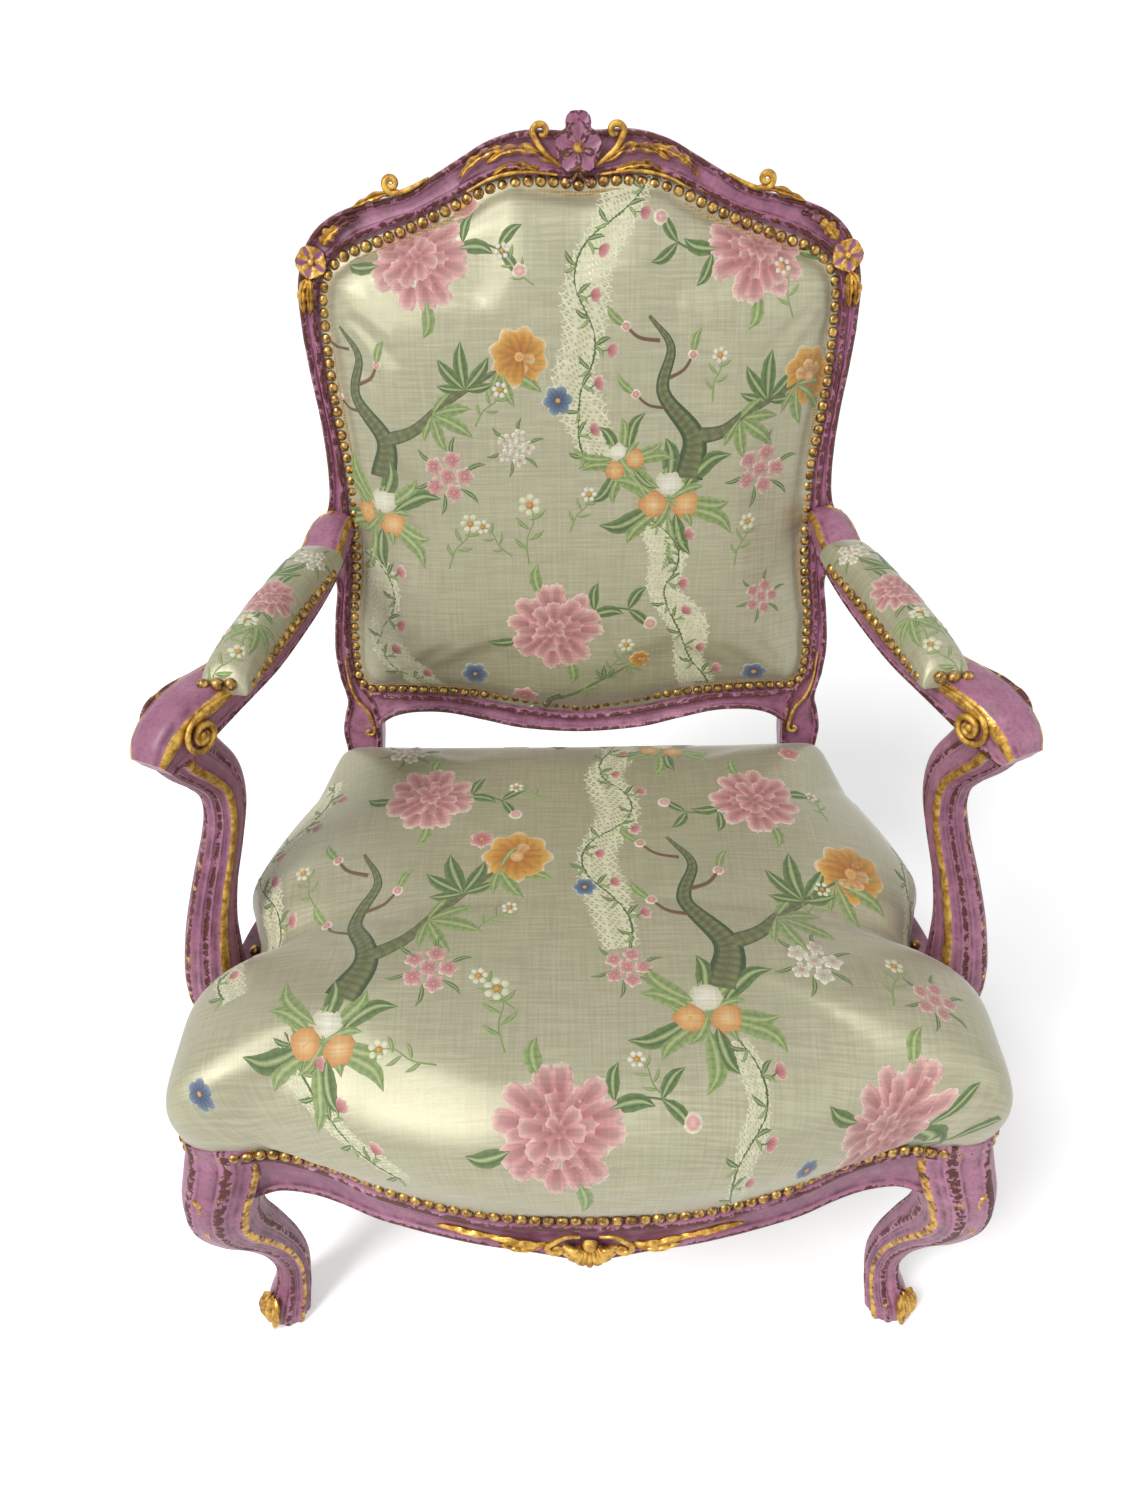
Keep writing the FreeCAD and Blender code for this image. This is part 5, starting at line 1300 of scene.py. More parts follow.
def nail_tree():
    """Geometry nodes that put a nail head on every point, turned to face out."""
    tree = bpy.data.node_groups.new("Nail row", "GeometryNodeTree")
    tree.interface.new_socket("Geometry", in_out="INPUT", socket_type="NodeSocketGeometry")
    for name, kind in (("Head", "Object"), ("Finish", "Material"), ("Variation", "Float"), ("Seed", "Int")):
        tree.interface.new_socket(name, in_out="INPUT", socket_type="NodeSocket" + kind)
    tree.interface.new_socket("Geometry", in_out="OUTPUT", socket_type="NodeSocketGeometry")
    t = Tree(tree)
    source = t.nodes.new("NodeGroupInput")
    sink = t.nodes.new("NodeGroupOutput")
    head = t.nodes.new("GeometryNodeObjectInfo")
    t.feed(head, "Object", source.outputs["Head"])
    facing = t.nodes.new("GeometryNodeInputNamedAttribute")
    facing.data_type = "FLOAT_VECTOR"
    facing.inputs["Name"].default_value = "facing"
    turn = t.nodes.new("FunctionNodeAlignRotationToVector")
    turn.axis = "Z"
    t.feed(turn, "Vector", facing.outputs["Attribute"])
    scale = t.nodes.new("FunctionNodeRandomValue")
    scale.data_type = "FLOAT"
    low = t.math("SUBTRACT", 1.0, source.outputs["Variation"])
    high = t.math("ADD", 1.0, source.outputs["Variation"])
    for index, item in ((2, low), (3, high)):
        t.links.new(item, scale.inputs[index])
    t.feed(scale, "Seed", source.outputs["Seed"])
    place = t.nodes.new("GeometryNodeInstanceOnPoints")
    t.feed(place, "Points", source.outputs["Geometry"])
    t.feed(place, "Instance", head.outputs["Geometry"])
    t.feed(place, "Rotation", turn.outputs["Rotation"])
    t.links.new(scale.outputs[1], place.inputs["Scale"])
    real = t.nodes.new("GeometryNodeRealizeInstances")
    t.feed(real, "Geometry", place.outputs["Instances"])
    finish = t.nodes.new("GeometryNodeSetMaterial")
    t.feed(finish, "Geometry", real.outputs["Geometry"])
    t.feed(finish, "Material", source.outputs["Finish"])
    t.feed(sink, "Geometry", finish.outputs["Geometry"])
    return tree


def nail_row(name, node, head, tree, material, variation):
    places, ways = nail_places(node)
    data = bpy.data.meshes.new(name)
    data.from_pydata(places.tolist(), [], [])
    layer = data.attributes.new("facing", "FLOAT_VECTOR", "POINT")
    layer.data.foreach_set("vector", ways.astype(np.float32).ravel())
    thing = bpy.data.objects.new(name, data)
    bpy.context.collection.objects.link(thing)
    step = thing.modifiers.new("nails", "NODES")
    step.node_group = tree
    given = {"Head": head, "Finish": material, "Variation": variation, "Seed": SEED}
    for socket in tree.interface.items_tree:
        if socket.in_out == "INPUT" and socket.name in given:
            step[socket.identifier] = given[socket.name]
    thing.update_tag()
    return declare(evaluated(thing), "nail_brass", node)


# The woven pattern: raised threads in flat cloth coordinates, laid onto a cushion's cover

class Pattern:
    """Grids of thread in cloth coordinates, each with its height above the satin and its colour."""

    def __init__(self):
        self.flat = []
        self.lift = []
        self.colour = []
        self.faces = []
        self.count = 0
        self.layer = 0.0

    def grid(self, flat, lift, colour):
        n, m = flat.shape[:2]
        self.flat.append(flat.reshape(-1, 2))
        self.lift.append((lift + self.layer).reshape(-1))
        self.colour.append(np.broadcast_to(colour, (n, m, 3)).reshape(-1, 3))
        c = self.count
        self.faces += [
            (c + i * m + j, c + i * m + j + 1, c + (i + 1) * m + j + 1, c + (i + 1) * m + j)
            for i in range(n - 1) for j in range(m - 1)
        ]
        self.count += n * m
        self.layer = (self.layer + 0.013) % 0.16


def shade(stops, t):
    """A colour from evenly spaced stops."""
    stops = np.array(stops)
    t = np.clip(t, 0, 1) * (len(stops) - 1)
    k = np.minimum(t.astype(int), len(stops) - 2)
    return stops[k] + (stops[k + 1] - stops[k]) * (t - k)[..., None]


def rgb(r, g, b):
    return colour_of(r, g, b)[:3]


CREAM = rgb(232, 226, 200)
PINKS = [rgb(190, 118, 120), rgb(218, 158, 154), rgb(234, 194, 184)]
ROSE = [rgb(176, 92, 100), rgb(208, 136, 136), rgb(226, 176, 168)]
YELLOWS = [rgb(180, 104, 30), rgb(208, 142, 48), rgb(228, 182, 92)]
ORANGES = [rgb(196, 128, 70), rgb(220, 166, 102), rgb(236, 204, 150)]
BLUES = [rgb(48, 66, 104), rgb(86, 108, 138), rgb(150, 168, 180)]
WHITES = [rgb(196, 190, 160), rgb(226, 222, 198), rgb(240, 238, 222)]
GREENS = [rgb(46, 72, 38), rgb(76, 108, 54), rgb(140, 158, 96)]
PALE_GREENS = [rgb(96, 126, 62), rgb(130, 154, 88), rgb(182, 192, 136)]
OLIVES = [rgb(86, 92, 56), rgb(118, 124, 78), rgb(164, 166, 118)]
LACE = [rgb(206, 204, 166), rgb(222, 220, 186), rgb(232, 230, 200)]
BROWNS = [rgb(70, 46, 34), rgb(104, 74, 50), rgb(146, 118, 82)]


def petal(cloth, base, angle, long, wide, stops, border=CREAM, rows=9, columns=11, scallops=3):
    t = np.linspace(0, 1, rows)[:, None]
    s = np.linspace(-1, 1, columns)[None, :]
    way = np.array([math.cos(angle), math.sin(angle)])
    side = np.array([-way[1], way[0]])
    half = wide / 2 * np.sin(math.pi * (0.1 + 0.66 * t)) ** 0.8
    reach = long * t * (1 - 0.2 * np.abs(s) ** 2.2 * t + 0.05 * np.cos(scallops * math.pi * s) * t)
    flat = np.asarray(base) + reach[..., None] * way + (half * s)[..., None] * side
    rim = np.maximum(np.abs(s) ** 3, t**6)
    lift = 0.42 * (1 - rim**3) - 0.25 * (rim > 0.999) + 0 * s
    colour = shade(stops, t + 0 * s)
    streak = (np.cos(9 * math.pi * s) > 0.2) & (t < 0.72)
    colour = np.where(streak[..., None], colour * 0.72, colour)
    edge = (t > 0.84) | (np.abs(s) > 0.78)
    colour = np.where(edge[..., None], border, colour)
    cloth.grid(flat, lift, colour)


def disc(cloth, centre, radius, stops, border=None, sides=14, rows=5, wavy=0.0, lobes=6):
    t = np.linspace(0, 1, rows)[:, None]
    a = np.linspace(0, 2 * math.pi, sides + 1)[None, :]
    r = radius * t * (1 + wavy * np.cos(lobes * a))
    flat = np.stack([centre[0] + r * np.cos(a), centre[1] + r * np.sin(a)], -1)
    lift = 0.55 * (1 - t**2) + 0.15 - 0.5 * (t > 0.99) + 0 * a
    colour = shade(stops[::-1], t + 0 * a)
    if border is not None:
        colour = np.where((t > 0.7 + 0 * a)[..., None], border, colour)
    cloth.grid(flat, lift, colour)


def strip(
    cloth, path, widths, stops, hatch=0.0, vein=None, columns=5, spacing=3.5, serrate=0.0, edge=None,
    mesh=False
):
    """A ribbon of thread along a path: a stem, a trunk, a leaf or, as an open mesh, a band of lace."""
    rough = smooth([(a, b, 0) for a, b in path], 60)[:, :2]
    length = np.linalg.norm(np.diff(rough, axis=0), axis=1).sum()
    rows = max(5, int(length / spacing) + 1)
    line = smooth([(a, b, 0) for a, b in path], rows)[:, :2]
    ahead = unit(np.gradient(line, axis=0))
    side = np.stack([-ahead[:, 1], ahead[:, 0]], 1)
    t = np.linspace(0, 1, rows)
    half = np.interp(t, np.linspace(0, 1, len(widths)), widths) / 2
    if serrate:
        half = half * (1 - serrate * (np.arange(rows) % 2))
    s = np.linspace(-1, 1, columns)
    flat = line[:, None, :] + half[:, None, None] * s[None, :, None] * side[:, None, :]
    lift = 0.4 - 0.55 * np.abs(s)[None, :] ** 4 + 0 * t[:, None]
    colour = shade(stops, np.abs(s)[None, :] * 0.5 + 0.3 + 0 * t[:, None])
    if mesh:
        row, column = np.arange(rows)[:, None], np.arange(columns)[None, :]
        solid = ((row + column) % 3 != 0) | (column % 6 == 0)
        lift = np.where(solid, lift - 0.1, -0.3)
    if hatch:
        bars = np.sin(np.arange(rows)[:, None] * 2.1 + 1.6 * s[None, :]) > 0.1
        colour = np.where(bars[..., None], colour * (1 - hatch), colour)
    if vein is not None:
        colour = np.where(
            (np.abs(s)[None, :] < 0.15)[..., None] & np.ones((rows, 1, 1), bool), vein, colour
        )
    if edge is not None:
        colour = np.where(
            (np.abs(s)[None, :] > 0.72)[..., None] & np.ones((rows, 1, 1), bool), edge, colour
        )
    cloth.grid(flat, lift, colour)


def turned(points, centre, angle, size=1.0):
    c, s = math.cos(math.radians(angle)) * size, math.sin(math.radians(angle)) * size
    return [(centre[0] + c * x - s * y, centre[1] + s * x + c * y) for x, y in points]


def leaf(cloth, base, angle, long, wide, stops=GREENS, bend=0.2):
    path = turned([(0, 0), (0.35, bend * 0.5), (0.7, bend * 0.7), (1.0, bend * 0.3)], base, angle, long)
    strip(
        cloth, path, (1.0, wide * 0.8, wide, wide * 0.75, 0.6), stops, hatch=0.22, vein=PALE_GREENS[2],
        columns=7, spacing=2.6
    )


def lobed_leaf(cloth, base, angle, size, stops=GREENS):
    """A broad leaf of five pointed lobes."""
    for turn, share in ((-78, 0.62), (78, 0.62), (-38, 0.85), (38, 0.85), (0, 1.0)):
        leaf(
            cloth, base, angle + turn, share * size, 0.36 * share * size, stops, 0.1 if turn >= 0 else -0.1
        )


PEONY_RINGS = (
    # petals, distance out, length, width and turn of each ring, as shares of the radius
    (12, 0.55, 0.5, 0.42, 0), (11, 0.4, 0.46, 0.4, 15), (9, 0.25, 0.42, 0.38, 5), (
        7, 0.11, 0.36, 0.34, 25
    ), (4, 0.0, 0.26, 0.28, 50),
)


def peony(cloth, centre, radius, turn=0.0, stops=PINKS):
    """A woven peony: rings of small scalloped petals that crowd to the heart, on a leafy stem with a bud."""
    stem = turned([(0, 0), (0.9, 0.25), (1.6, 0.15), (2.0, -0.25)], centre, turn + 200, radius)
    strip(cloth, stem, (2.6, 2.6, 2.0), GREENS, columns=3)
    for k, side in ((1, 70), (2, -60), (2, 40)):
        leaf(cloth, stem[k], turn + 200 + side, 0.62 * radius, 0.24 * radius, GREENS, 0.2)
    disc(cloth, stem[3], 0.17 * radius, stops, border=CREAM, sides=12)
    for k in range(4):
        start = turned([(0.8 * radius, 0)], centre, turn + 90 * k + 30)[0]
        leaf(
            cloth, start, turn + 90 * k + 10, 0.7 * radius, 0.3 * radius, PALE_GREENS if k % 2 else GREENS,
            0.25
        )
    for count, share, long, wide, shift in PEONY_RINGS:
        for k in range(count):
            angle = math.radians(turn + shift + 360 * k / count + 7 * math.sin(2.3 * k))
            base = (
                centre[0] + share * radius * math.cos(angle), centre[1] + share * radius * math.sin(angle)
            )
            petal(cloth, base, angle, long * radius, wide * radius, stops, rows=7, columns=9)


def blossoms(cloth, centre, size, stops=WHITES):
    """A head of five-petalled blossoms with small leaves round it."""
    for k in range(6):
        spot = turned([(1.75, 0)], centre, 60 * k + 15, size)[0]
        leaf(cloth, spot, 60 * k + 15, 2.2 * size, 0.5 * size, GREENS)
    for k in range(6):
        spot = centre if k == 5 else turned([(1.7, 0)], centre, 72 * k, size)[0]
        daisy(cloth, spot, size, stops, 30 * k, 5, ROSE, ROSE[2] if k % 2 else CREAM)


def daisy(cloth, centre, radius, stops, turn=0.0, petals=6, heart=YELLOWS, border=CREAM):
    for k in range(petals):
        angle = math.radians(turn + 360 * k / petals)
        petal(cloth, centre, angle, radius, 0.85 * radius, stops, border, rows=6, columns=7, scallops=1)
    disc(cloth, centre, 0.28 * radius, heart, sides=10, rows=4)


def sprig(cloth, base, angle, long, stops=WHITES, leaves=GREENS):
    """A thin stem with leaves and a head of small blossoms."""
    path = turned([(0, 0), (0.4, 0.06), (0.75, -0.03), (1.0, 0.05)], base, angle, long)
    strip(cloth, path, (2.2, 1.8, 1.4), leaves, columns=3)
    for k, (share, side) in enumerate(((0.25, 1), (0.42, -1), (0.6, 1), (0.76, -1))):
        start = turned([(share, 0.03)], base, angle, long)[0]
        leaf(cloth, start, angle + side * 48, 0.3 * long, 0.09 * long, leaves, 0.15 * side)
    tip = turned([(1.0, 0.05)], base, angle, long)[0]
    for k in range(6):
        spot = turned([(0.13, 0)], tip, angle + 60 * k, long)[0]
        disc(cloth, spot, 0.075 * long, stops, sides=8, rows=4)
    disc(cloth, tip, 0.07 * long, YELLOWS, sides=8, rows=4)


def fruit(cloth, centre, size, angle=90.0):
    """Three fruits in a wide spray of leaves."""
    for k in range(11):
        way = angle + 360 * k / 11 + 8
        start = turned([(0.9, 0)], centre, way, size)[0]
        stops = PALE_GREENS if k % 3 else GREENS
        leaf(cloth, start, way, size * (3.5 if k % 2 else 2.7), size * 1.15, stops, 0.28 if k % 2 else -0.2)
    for k in range(5):
        way = angle + 72 * k
        leaf(cloth, centre, way, size * 2.1, size * 0.8, PALE_GREENS, 0.2)
    for k, (x, y) in enumerate(((-0.95, -0.3), (0.95, -0.3), (0.0, 0.95))):
        spot = turned([(x, y)], centre, angle - 90, size)[0]
        disc(cloth, spot, size, (ORANGES, ORANGES, WHITES)[k], sides=16)
        disc(cloth, spot, 0.55 * size, (YELLOWS, ORANGES, WHITES)[k], border=CREAM, sides=12)


def tree(cloth, base, top, tip):
    """A flowering tree: a hatched trunk to its top and a limb to its tip, with leaves and blossoms."""
    base, top, tip = (np.array(p, float) for p in (base, top, tip))
    long = np.linalg.norm(top - base)
    angle = math.degrees(math.atan2(top[1] - base[1], top[0] - base[0]))
    trunk = turned([(0, 0), (0.25, -0.07), (0.55, 0.08), (0.8, 0.0), (1.0, 0.1)], base, angle, long)
    fork = np.array(trunk[1])
    middle = (fork + tip) / 2
    limb = [
        tuple(fork), tuple(middle * 0.5 + fork * 0.5 + np.array([0, -0.05 * long])), tuple(middle),
        tuple(tip)
    ]
    strip(
        cloth, limb, (0.11 * long, 0.07 * long, 0.045 * long, 0.02 * long), OLIVES, hatch=0.35, columns=5,
        edge=GREENS[0]
    )
    strip(
        cloth, trunk, (0.2 * long, 0.14 * long, 0.09 * long, 0.06 * long, 0.02 * long), OLIVES, hatch=0.4,
        columns=9, edge=GREENS[0], spacing=2.4
    )
    strip(cloth, trunk[:4], (0.05 * long, 0.04 * long, 0.03 * long), BROWNS, hatch=0.4, columns=3)
    for share, side in ((0.45, 1), (0.62, -1), (0.85, 1)):
        start = turned([(share, 0.06)], base, angle, long)[0]
        twig = turned([(0, 0), (0.12, 0.03 * side), (0.22, 0.0)], start, angle + side * 58, long)
        strip(cloth, twig, (0.03 * long, 0.02 * long), BROWNS, columns=3)
        leaf(cloth, twig[2], angle + side * 30, 0.16 * long, 0.06 * long, PALE_GREENS)
        disc(cloth, twig[2], 0.035 * long, ROSE, border=CREAM, sides=10)
    line = smooth([(a, b, 0) for a, b in limb], 9)[:, :2]
    heading = math.degrees(math.atan2(tip[1] - fork[1], tip[0] - fork[0]))
    for k, side in ((3, -1), (5, 1), (7, -1)):
        lobed_leaf(
            cloth, tuple(line[k]), heading + side * 62, 0.3 * long, GREENS if side > 0 else PALE_GREENS
        )
    daisy(cloth, tuple(tip), 0.2 * long, YELLOWS, heading, 8, ORANGES)
    daisy(cloth, tuple(tip), 0.12 * long, ORANGES, heading + 20, 6, YELLOWS)


def vine(cloth, path, wide=46.0):
    """A broad open band of lace with a rose vine that winds along it."""
    strip(
        cloth, path, [wide * share for share in (0.7, 1.0, 0.75, 1.05, 0.8, 1.0, 0.7)], LACE, columns=19,
        spacing=2.4, serrate=0.16, mesh=True
    )
    rough = smooth([(a, b, 0) for a, b in path], 90)[:, :2]
    length = np.linalg.norm(np.diff(rough, axis=0), axis=1).sum()
    ahead = unit(np.gradient(rough, axis=0))
    aside = np.stack([-ahead[:, 1], ahead[:, 0]], 1)
    swing = 0.24 * wide * np.sin(np.linspace(0, length / 26, 90))
    line = rough + aside * swing[:, None]
    strip(cloth, [tuple(p) for p in line[::3]], (3.4, 3.0, 3.4), GREENS, hatch=0.25, columns=3, spacing=3.0)
    count = max(2, int(length / 20))
    for k in range(count):
        i = int((k + 0.5) / count * 89)
        sign = 1 if k % 2 else -1
        side = aside[i] * sign
        angle = math.degrees(math.atan2(side[1], side[0]))
        spot = line[i]
        leaf(cloth, tuple(spot), angle + 38 * sign, 15, 5.5, GREENS, 0.2)
        leaf(cloth, tuple(spot), angle - 42 * sign, 12, 4.5, PALE_GREENS, 0.2)
        if k % 2:
            strip(
                cloth, [tuple(spot), tuple(spot + side * 6 + ahead[i] * 3), tuple(spot + side * 13)],
                (1.8, 1.6), GREENS, columns=3
            )
            for shift in (-36, 36, 0):
                petal(cloth, spot + side * 12, math.radians(angle + shift), 10, 8, ROSE, CREAM, 5, 7, 1)


def on_cushion(thing, cushion, cloth, name, material):
    """Lay the pattern on the cover, at the place that has the same cloth coordinates."""
    data = thing.data
    top = 4 * cushion.across * cushion.along
    corners = np.empty(len(data.loops), dtype=np.int32)
    data.loops.foreach_get("vertex_index", corners)
    uv = np.empty(len(data.loops) * 2, dtype=np.float32)
    data.uv_layers["cloth"].data.foreach_get("uv", uv)
    uv = uv.reshape(-1, 2)[:4 * top].astype(float)
    corners = corners[:4 * top].reshape(-1, 4)
    places = np.array([v.co for v in data.vertices])
    normals = np.array([v.normal for v in data.vertices])
    search = BVHTree.FromPolygons(
        [(a, b, 0.0) for a, b in uv], [(4 * k, 4 * k + 1, 4 * k + 2, 4 * k + 3) for k in range(top)]
    )
    flat = np.vstack(cloth.flat) * MM
    face = np.full(len(flat), -1)
    for k, (a, b) in enumerate(flat):
        hit = search.ray_cast((a, b, 1.0), (0, 0, -1))
        if hit[2] is not None:
            face[k] = hit[2]
    uv = uv.reshape(-1, 4, 2)
    found = np.maximum(face, 0)
    point, normal = np.zeros((len(flat), 3)), np.zeros((len(flat), 3))
    best = np.full(len(flat), -1e9)
    for trio in ((0, 1, 2), (0, 2, 3)):
        a, b, c = (uv[found, k] for k in trio)
        area = (b[:, 0] - a[:, 0]) * (c[:, 1] - a[:, 1]) - (c[:, 0] - a[:, 0]) * (b[:, 1] - a[:, 1])
        area = np.where(np.abs(area) < 1e-14, 1e-14, area)
        wb = (
            (flat[:, 0] - a[:, 0]) * (c[:, 1] - a[:, 1]) - (c[:, 0] - a[:, 0]) * (flat[:, 1] - a[:, 1])
        ) / area
        wc = (
            (b[:, 0] - a[:, 0]) * (flat[:, 1] - a[:, 1]) - (flat[:, 0] - a[:, 0]) * (b[:, 1] - a[:, 1])
        ) / area
        weights = np.stack([1 - wb - wc, wb, wc], 1)
        worst = weights.min(axis=1)
        take = worst > best
        best = np.where(take, worst, best)
        spots = corners[found][:, trio]
        point[take] = np.einsum("nk,nkd->nd", weights, places[spots])[take]
        normal[take] = np.einsum("nk,nkd->nd", weights, normals[spots])[take]
    lift = np.concatenate(cloth.lift)
    point += unit(normal) * (lift * MM)[:, None]
    kept = [f for f in cloth.faces if all(face[k] >= 0 for k in f)]
    used = np.unique(np.array(kept))
    number = np.zeros(len(flat), dtype=int)
    number[used] = np.arange(len(used))
    made = bpy.data.meshes.new(name)
    made.from_pydata(point[used].tolist(), [], [tuple(int(number[k]) for k in f) for f in kept])
    layer = made.attributes.new("thread", "FLOAT_COLOR", "POINT")
    colours = np.column_stack([np.vstack(cloth.colour)[used], np.ones(len(used))])
    layer.data.foreach_set("color", colours.astype(np.float32).ravel())
    uv_layer = made.uv_layers.new(name="cloth")
    loops = np.empty(len(made.loops), dtype=np.int32)
    made.loops.foreach_get("vertex_index", loops)
    uv_layer.data.foreach_set("uv", flat[used][loops].astype(np.float32).ravel())
    made.materials.append(material)
    made.polygons.foreach_set("use_smooth", [True] * len(made.polygons))
    piece = bpy.data.objects.new(name, made)
    bpy.context.collection.objects.link(piece)
    return declare(piece, "brocade")


def thread(group):
    """Brocading silk, coloured by the pattern."""
    material, t, shader = new_material("brocade_thread")
    weave = t.node("ShaderNodeGroup", {"node_tree": group}, Pitch=0.0009)
    colour = t.node("ShaderNodeAttribute", {"attribute_name": "thread"}).outputs["Color"]
    darker = t.math("MULTIPLY", t.ramp(weave.outputs["Slub"], 0.38, 0.66), 0.3)
    t.feed(shader, "Base Color", t.mix(darker, colour, (0.12, 0.11, 0.08, 1.0)))
    t.feed(shader, "Roughness", 0.5)
    t.feed(shader, "Sheen Weight", 0.2)
    height = t.math("ADD", weave.outputs["Height"], weave.outputs["Slub"])
    bump = t.node("ShaderNodeBump", Strength=0.35, Distance=0.0004, Height=height)
    t.feed(shader, "Normal", bump.outputs[0])
    return material


def seat_pattern():
    cloth = Pattern()
    vine(cloth, [(44, 250), (34, 190), (40, 140), (22, 95), (34, 40), (12, -20), (22, -80), (30, -130)], 58)
    vine(cloth, [(-262, 120), (-282, 60), (-312, 0), (-300, -60), (-318, -120), (-300, -170)], 44)
    vine(cloth, [(-246, -210), (-232, -250), (-200, -290), (-160, -330)], 24)
    vine(cloth, [(120, -220), (134, -270), (128, -320), (150, -370)], 30)
    vine(cloth, [(300, 110), (330, 50), (322, -20), (340, -90)], 40)
    tree(cloth, (-202, -180), (-190, -10), (-62, -20))
    tree(cloth, (112, -172), (96, 6), (250, -30))
    tree(cloth, (-20, 160), (-90, 200), (10, 220))
    fruit(cloth, (-214, -216), 15, 80)
    fruit(cloth, (98, -196), 16, 90)
    fruit(cloth, (84, 150), 13, 80)
    for centre, radius, turn in (
        ((-150, 64), 44, 150), ((168, 58), 44, -10), ((-24, -292), 52, 170), ((262, -276), 46, 150)
    ):
        peony(cloth, centre, radius, turn)
    for centre, size in (
        ((-132, -150), 9.5), ((192, -146), 9.5), ((-180, 140), 8), ((34, -150), 8), ((290, -180), 8)
    ):
        blossoms(cloth, centre, size, PINKS if centre[1] < -148 else WHITES)
    for centre, stops, turn in (
        ((0, -60), BLUES, 0), ((-96, 4), ROSE, 30), ((214, 132), ROSE, 0), ((-318, -250), BLUES, 15),
        ((196, -320), BLUES, 20)
    ):
        daisy(cloth, centre, 12, stops, turn)
    for base, angle, long in (
        ((-66, -230), 95, 60), (
            (-60, -190), 130, 44
        ), ((-96, -110), 40, 40), ((200, -90), 60, 44), ((-30, 60), 150, 40),
        ((-250, -60), 110, 44), ((250, -190), 70, 46), (
            (-120, -240), 160, 50
        ), ((60, -270), 120, 40), ((240, 40), 100, 38),
    ):
        sprig(cloth, base, angle, long, LACE if long > 42 else WHITES, PALE_GREENS)
    return cloth


def back_pattern():
    cloth = Pattern()
    vine(cloth, [(62, 600), (46, 560), (30, 522), (8, 478), (4, 430), (-6, 388), (8, 350), (20, 316)], 58)
    vine(cloth, [(66, 262), (84, 226), (80, 190), (108, 150), (112, 100), (140, 40)], 44)
    vine(cloth, [(-214, 226), (-196, 180), (-202, 136), (-172, 92), (-150, 40)], 40)
    tree(cloth, (-190, 300), (-206, 438), (-54, 410))
    tree(cloth, (100, 300), (76, 446), (214, 388))
    tree(cloth, (-20, 60), (-60, 20), (60, 110))
    fruit(cloth, (-196, 264), 15, 70)
    fruit(cloth, (84, 280), 16, 90)
    fruit(cloth, (40, 316), 11, 120)
    for centre, radius, turn in (((-142, 494), 45, 160), ((158, 498), 45, -30), ((-26, 150), 47, 170)):
        peony(cloth, centre, radius, turn)
    for centre, size in (((-124, 304), 9.5), ((172, 306), 9.5), ((-60, 330), 7), ((180, 180), 7)):
        blossoms(cloth, centre, size, PINKS if abs(centre[0]) > 110 else WHITES)
    for centre, stops, turn in (
        ((-110, 92), BLUES, 0), ((180, 92), BLUES, 20), ((-20, 372), BLUES, 8), ((-104, 540), ROSE, 0),
        ((-60, 60), ROSE, 10)
    ):
        daisy(cloth, centre, 15, stops, turn)
    for base, angle, long in (
        ((-50, 218), 85, 58), (
            (-66, 226), 130, 40
        ), ((-10, 250), 60, 40), ((-128, 214), 60, 50), ((-96, 350), 50, 40),
        ((150, 214), 70, 44), (
            (-40, 470), 130, 40
        ), ((120, 370), 80, 40), ((190, 440), 100, 44), ((26, 90), 60, 44),
    ):
        sprig(cloth, base, angle, long, LACE if long > 42 else WHITES, PALE_GREENS)
    return cloth


def arm_pattern():
    cloth = Pattern()
    peony(cloth, (2, 104), 26, 60)
    blossoms(cloth, (10, 176), 6)
    lobed_leaf(cloth, (-8, 140), 100, 34)
    lobed_leaf(cloth, (8, 62), -80, 36, PALE_GREENS)
    for base, angle, long in (((10, 24), 100, 42), ((-14, 30), 70, 40), ((-12, -10), 60, 40)):
        sprig(cloth, base, angle, long, LACE, PALE_GREENS)
    return cloth


def mirrored_object(thing, name):
    """The same piece for the other side of the chair."""
    data = thing.data.copy()
    data.name = name
    data.transform(Matrix.Scale(-1, 4, (1, 0, 0)))
    data.flip_normals()
    other = bpy.data.objects.new(name, data)
    bpy.context.collection.objects.link(other)
    return other


def build_outside_back(material):
    """The cover nailed over the back of the frame, drawn tight."""
    cushion = domed_cushion(
        BACK_OUTLINE, ((228, 80), (222, 478), (-222, 478), (-228, 80)), BACK_CENTRE, 40,
        lambda rim, reach: np.array([(-5.0, 0.0), (0.0, 0.4), (14.0, 1.6), (reach, 3.0)]),
        lambda x, v, out: back_point(x, v, -FRAME_DEEP + 1.6 - out),
    )
    n = (cushion.across + 1) * (cushion.along + 1)
    data = bpy.data.meshes.new("outside_back_panel")
    data.from_pydata((cushion.space.reshape(n, 3) * MM).tolist(), [], cushion.faces())
    layer = data.uv_layers.new(name="cloth")
    corners = np.empty(len(data.loops), dtype=np.int32)
    data.loops.foreach_get("vertex_index", corners)
    layer.data.foreach_set("uv", (cushion.flat.reshape(n, 2) * MM)[corners].astype(np.float32).ravel())
    data.materials.append(material)
    data.polygons.foreach_set("use_smooth", [True] * len(data.polygons))
    thing = bpy.data.objects.new("outside_back_panel", data)
    bpy.context.collection.objects.link(thing)
    out = back_point(0, 0, 1) - back_point(0, 0, 0)
    close_under(thing, ((0.0, tuple(out * MM)),))
    return declare(thing, "outside_fabric", "outside_back_cover")


# The add-on

MATERIALS = {}


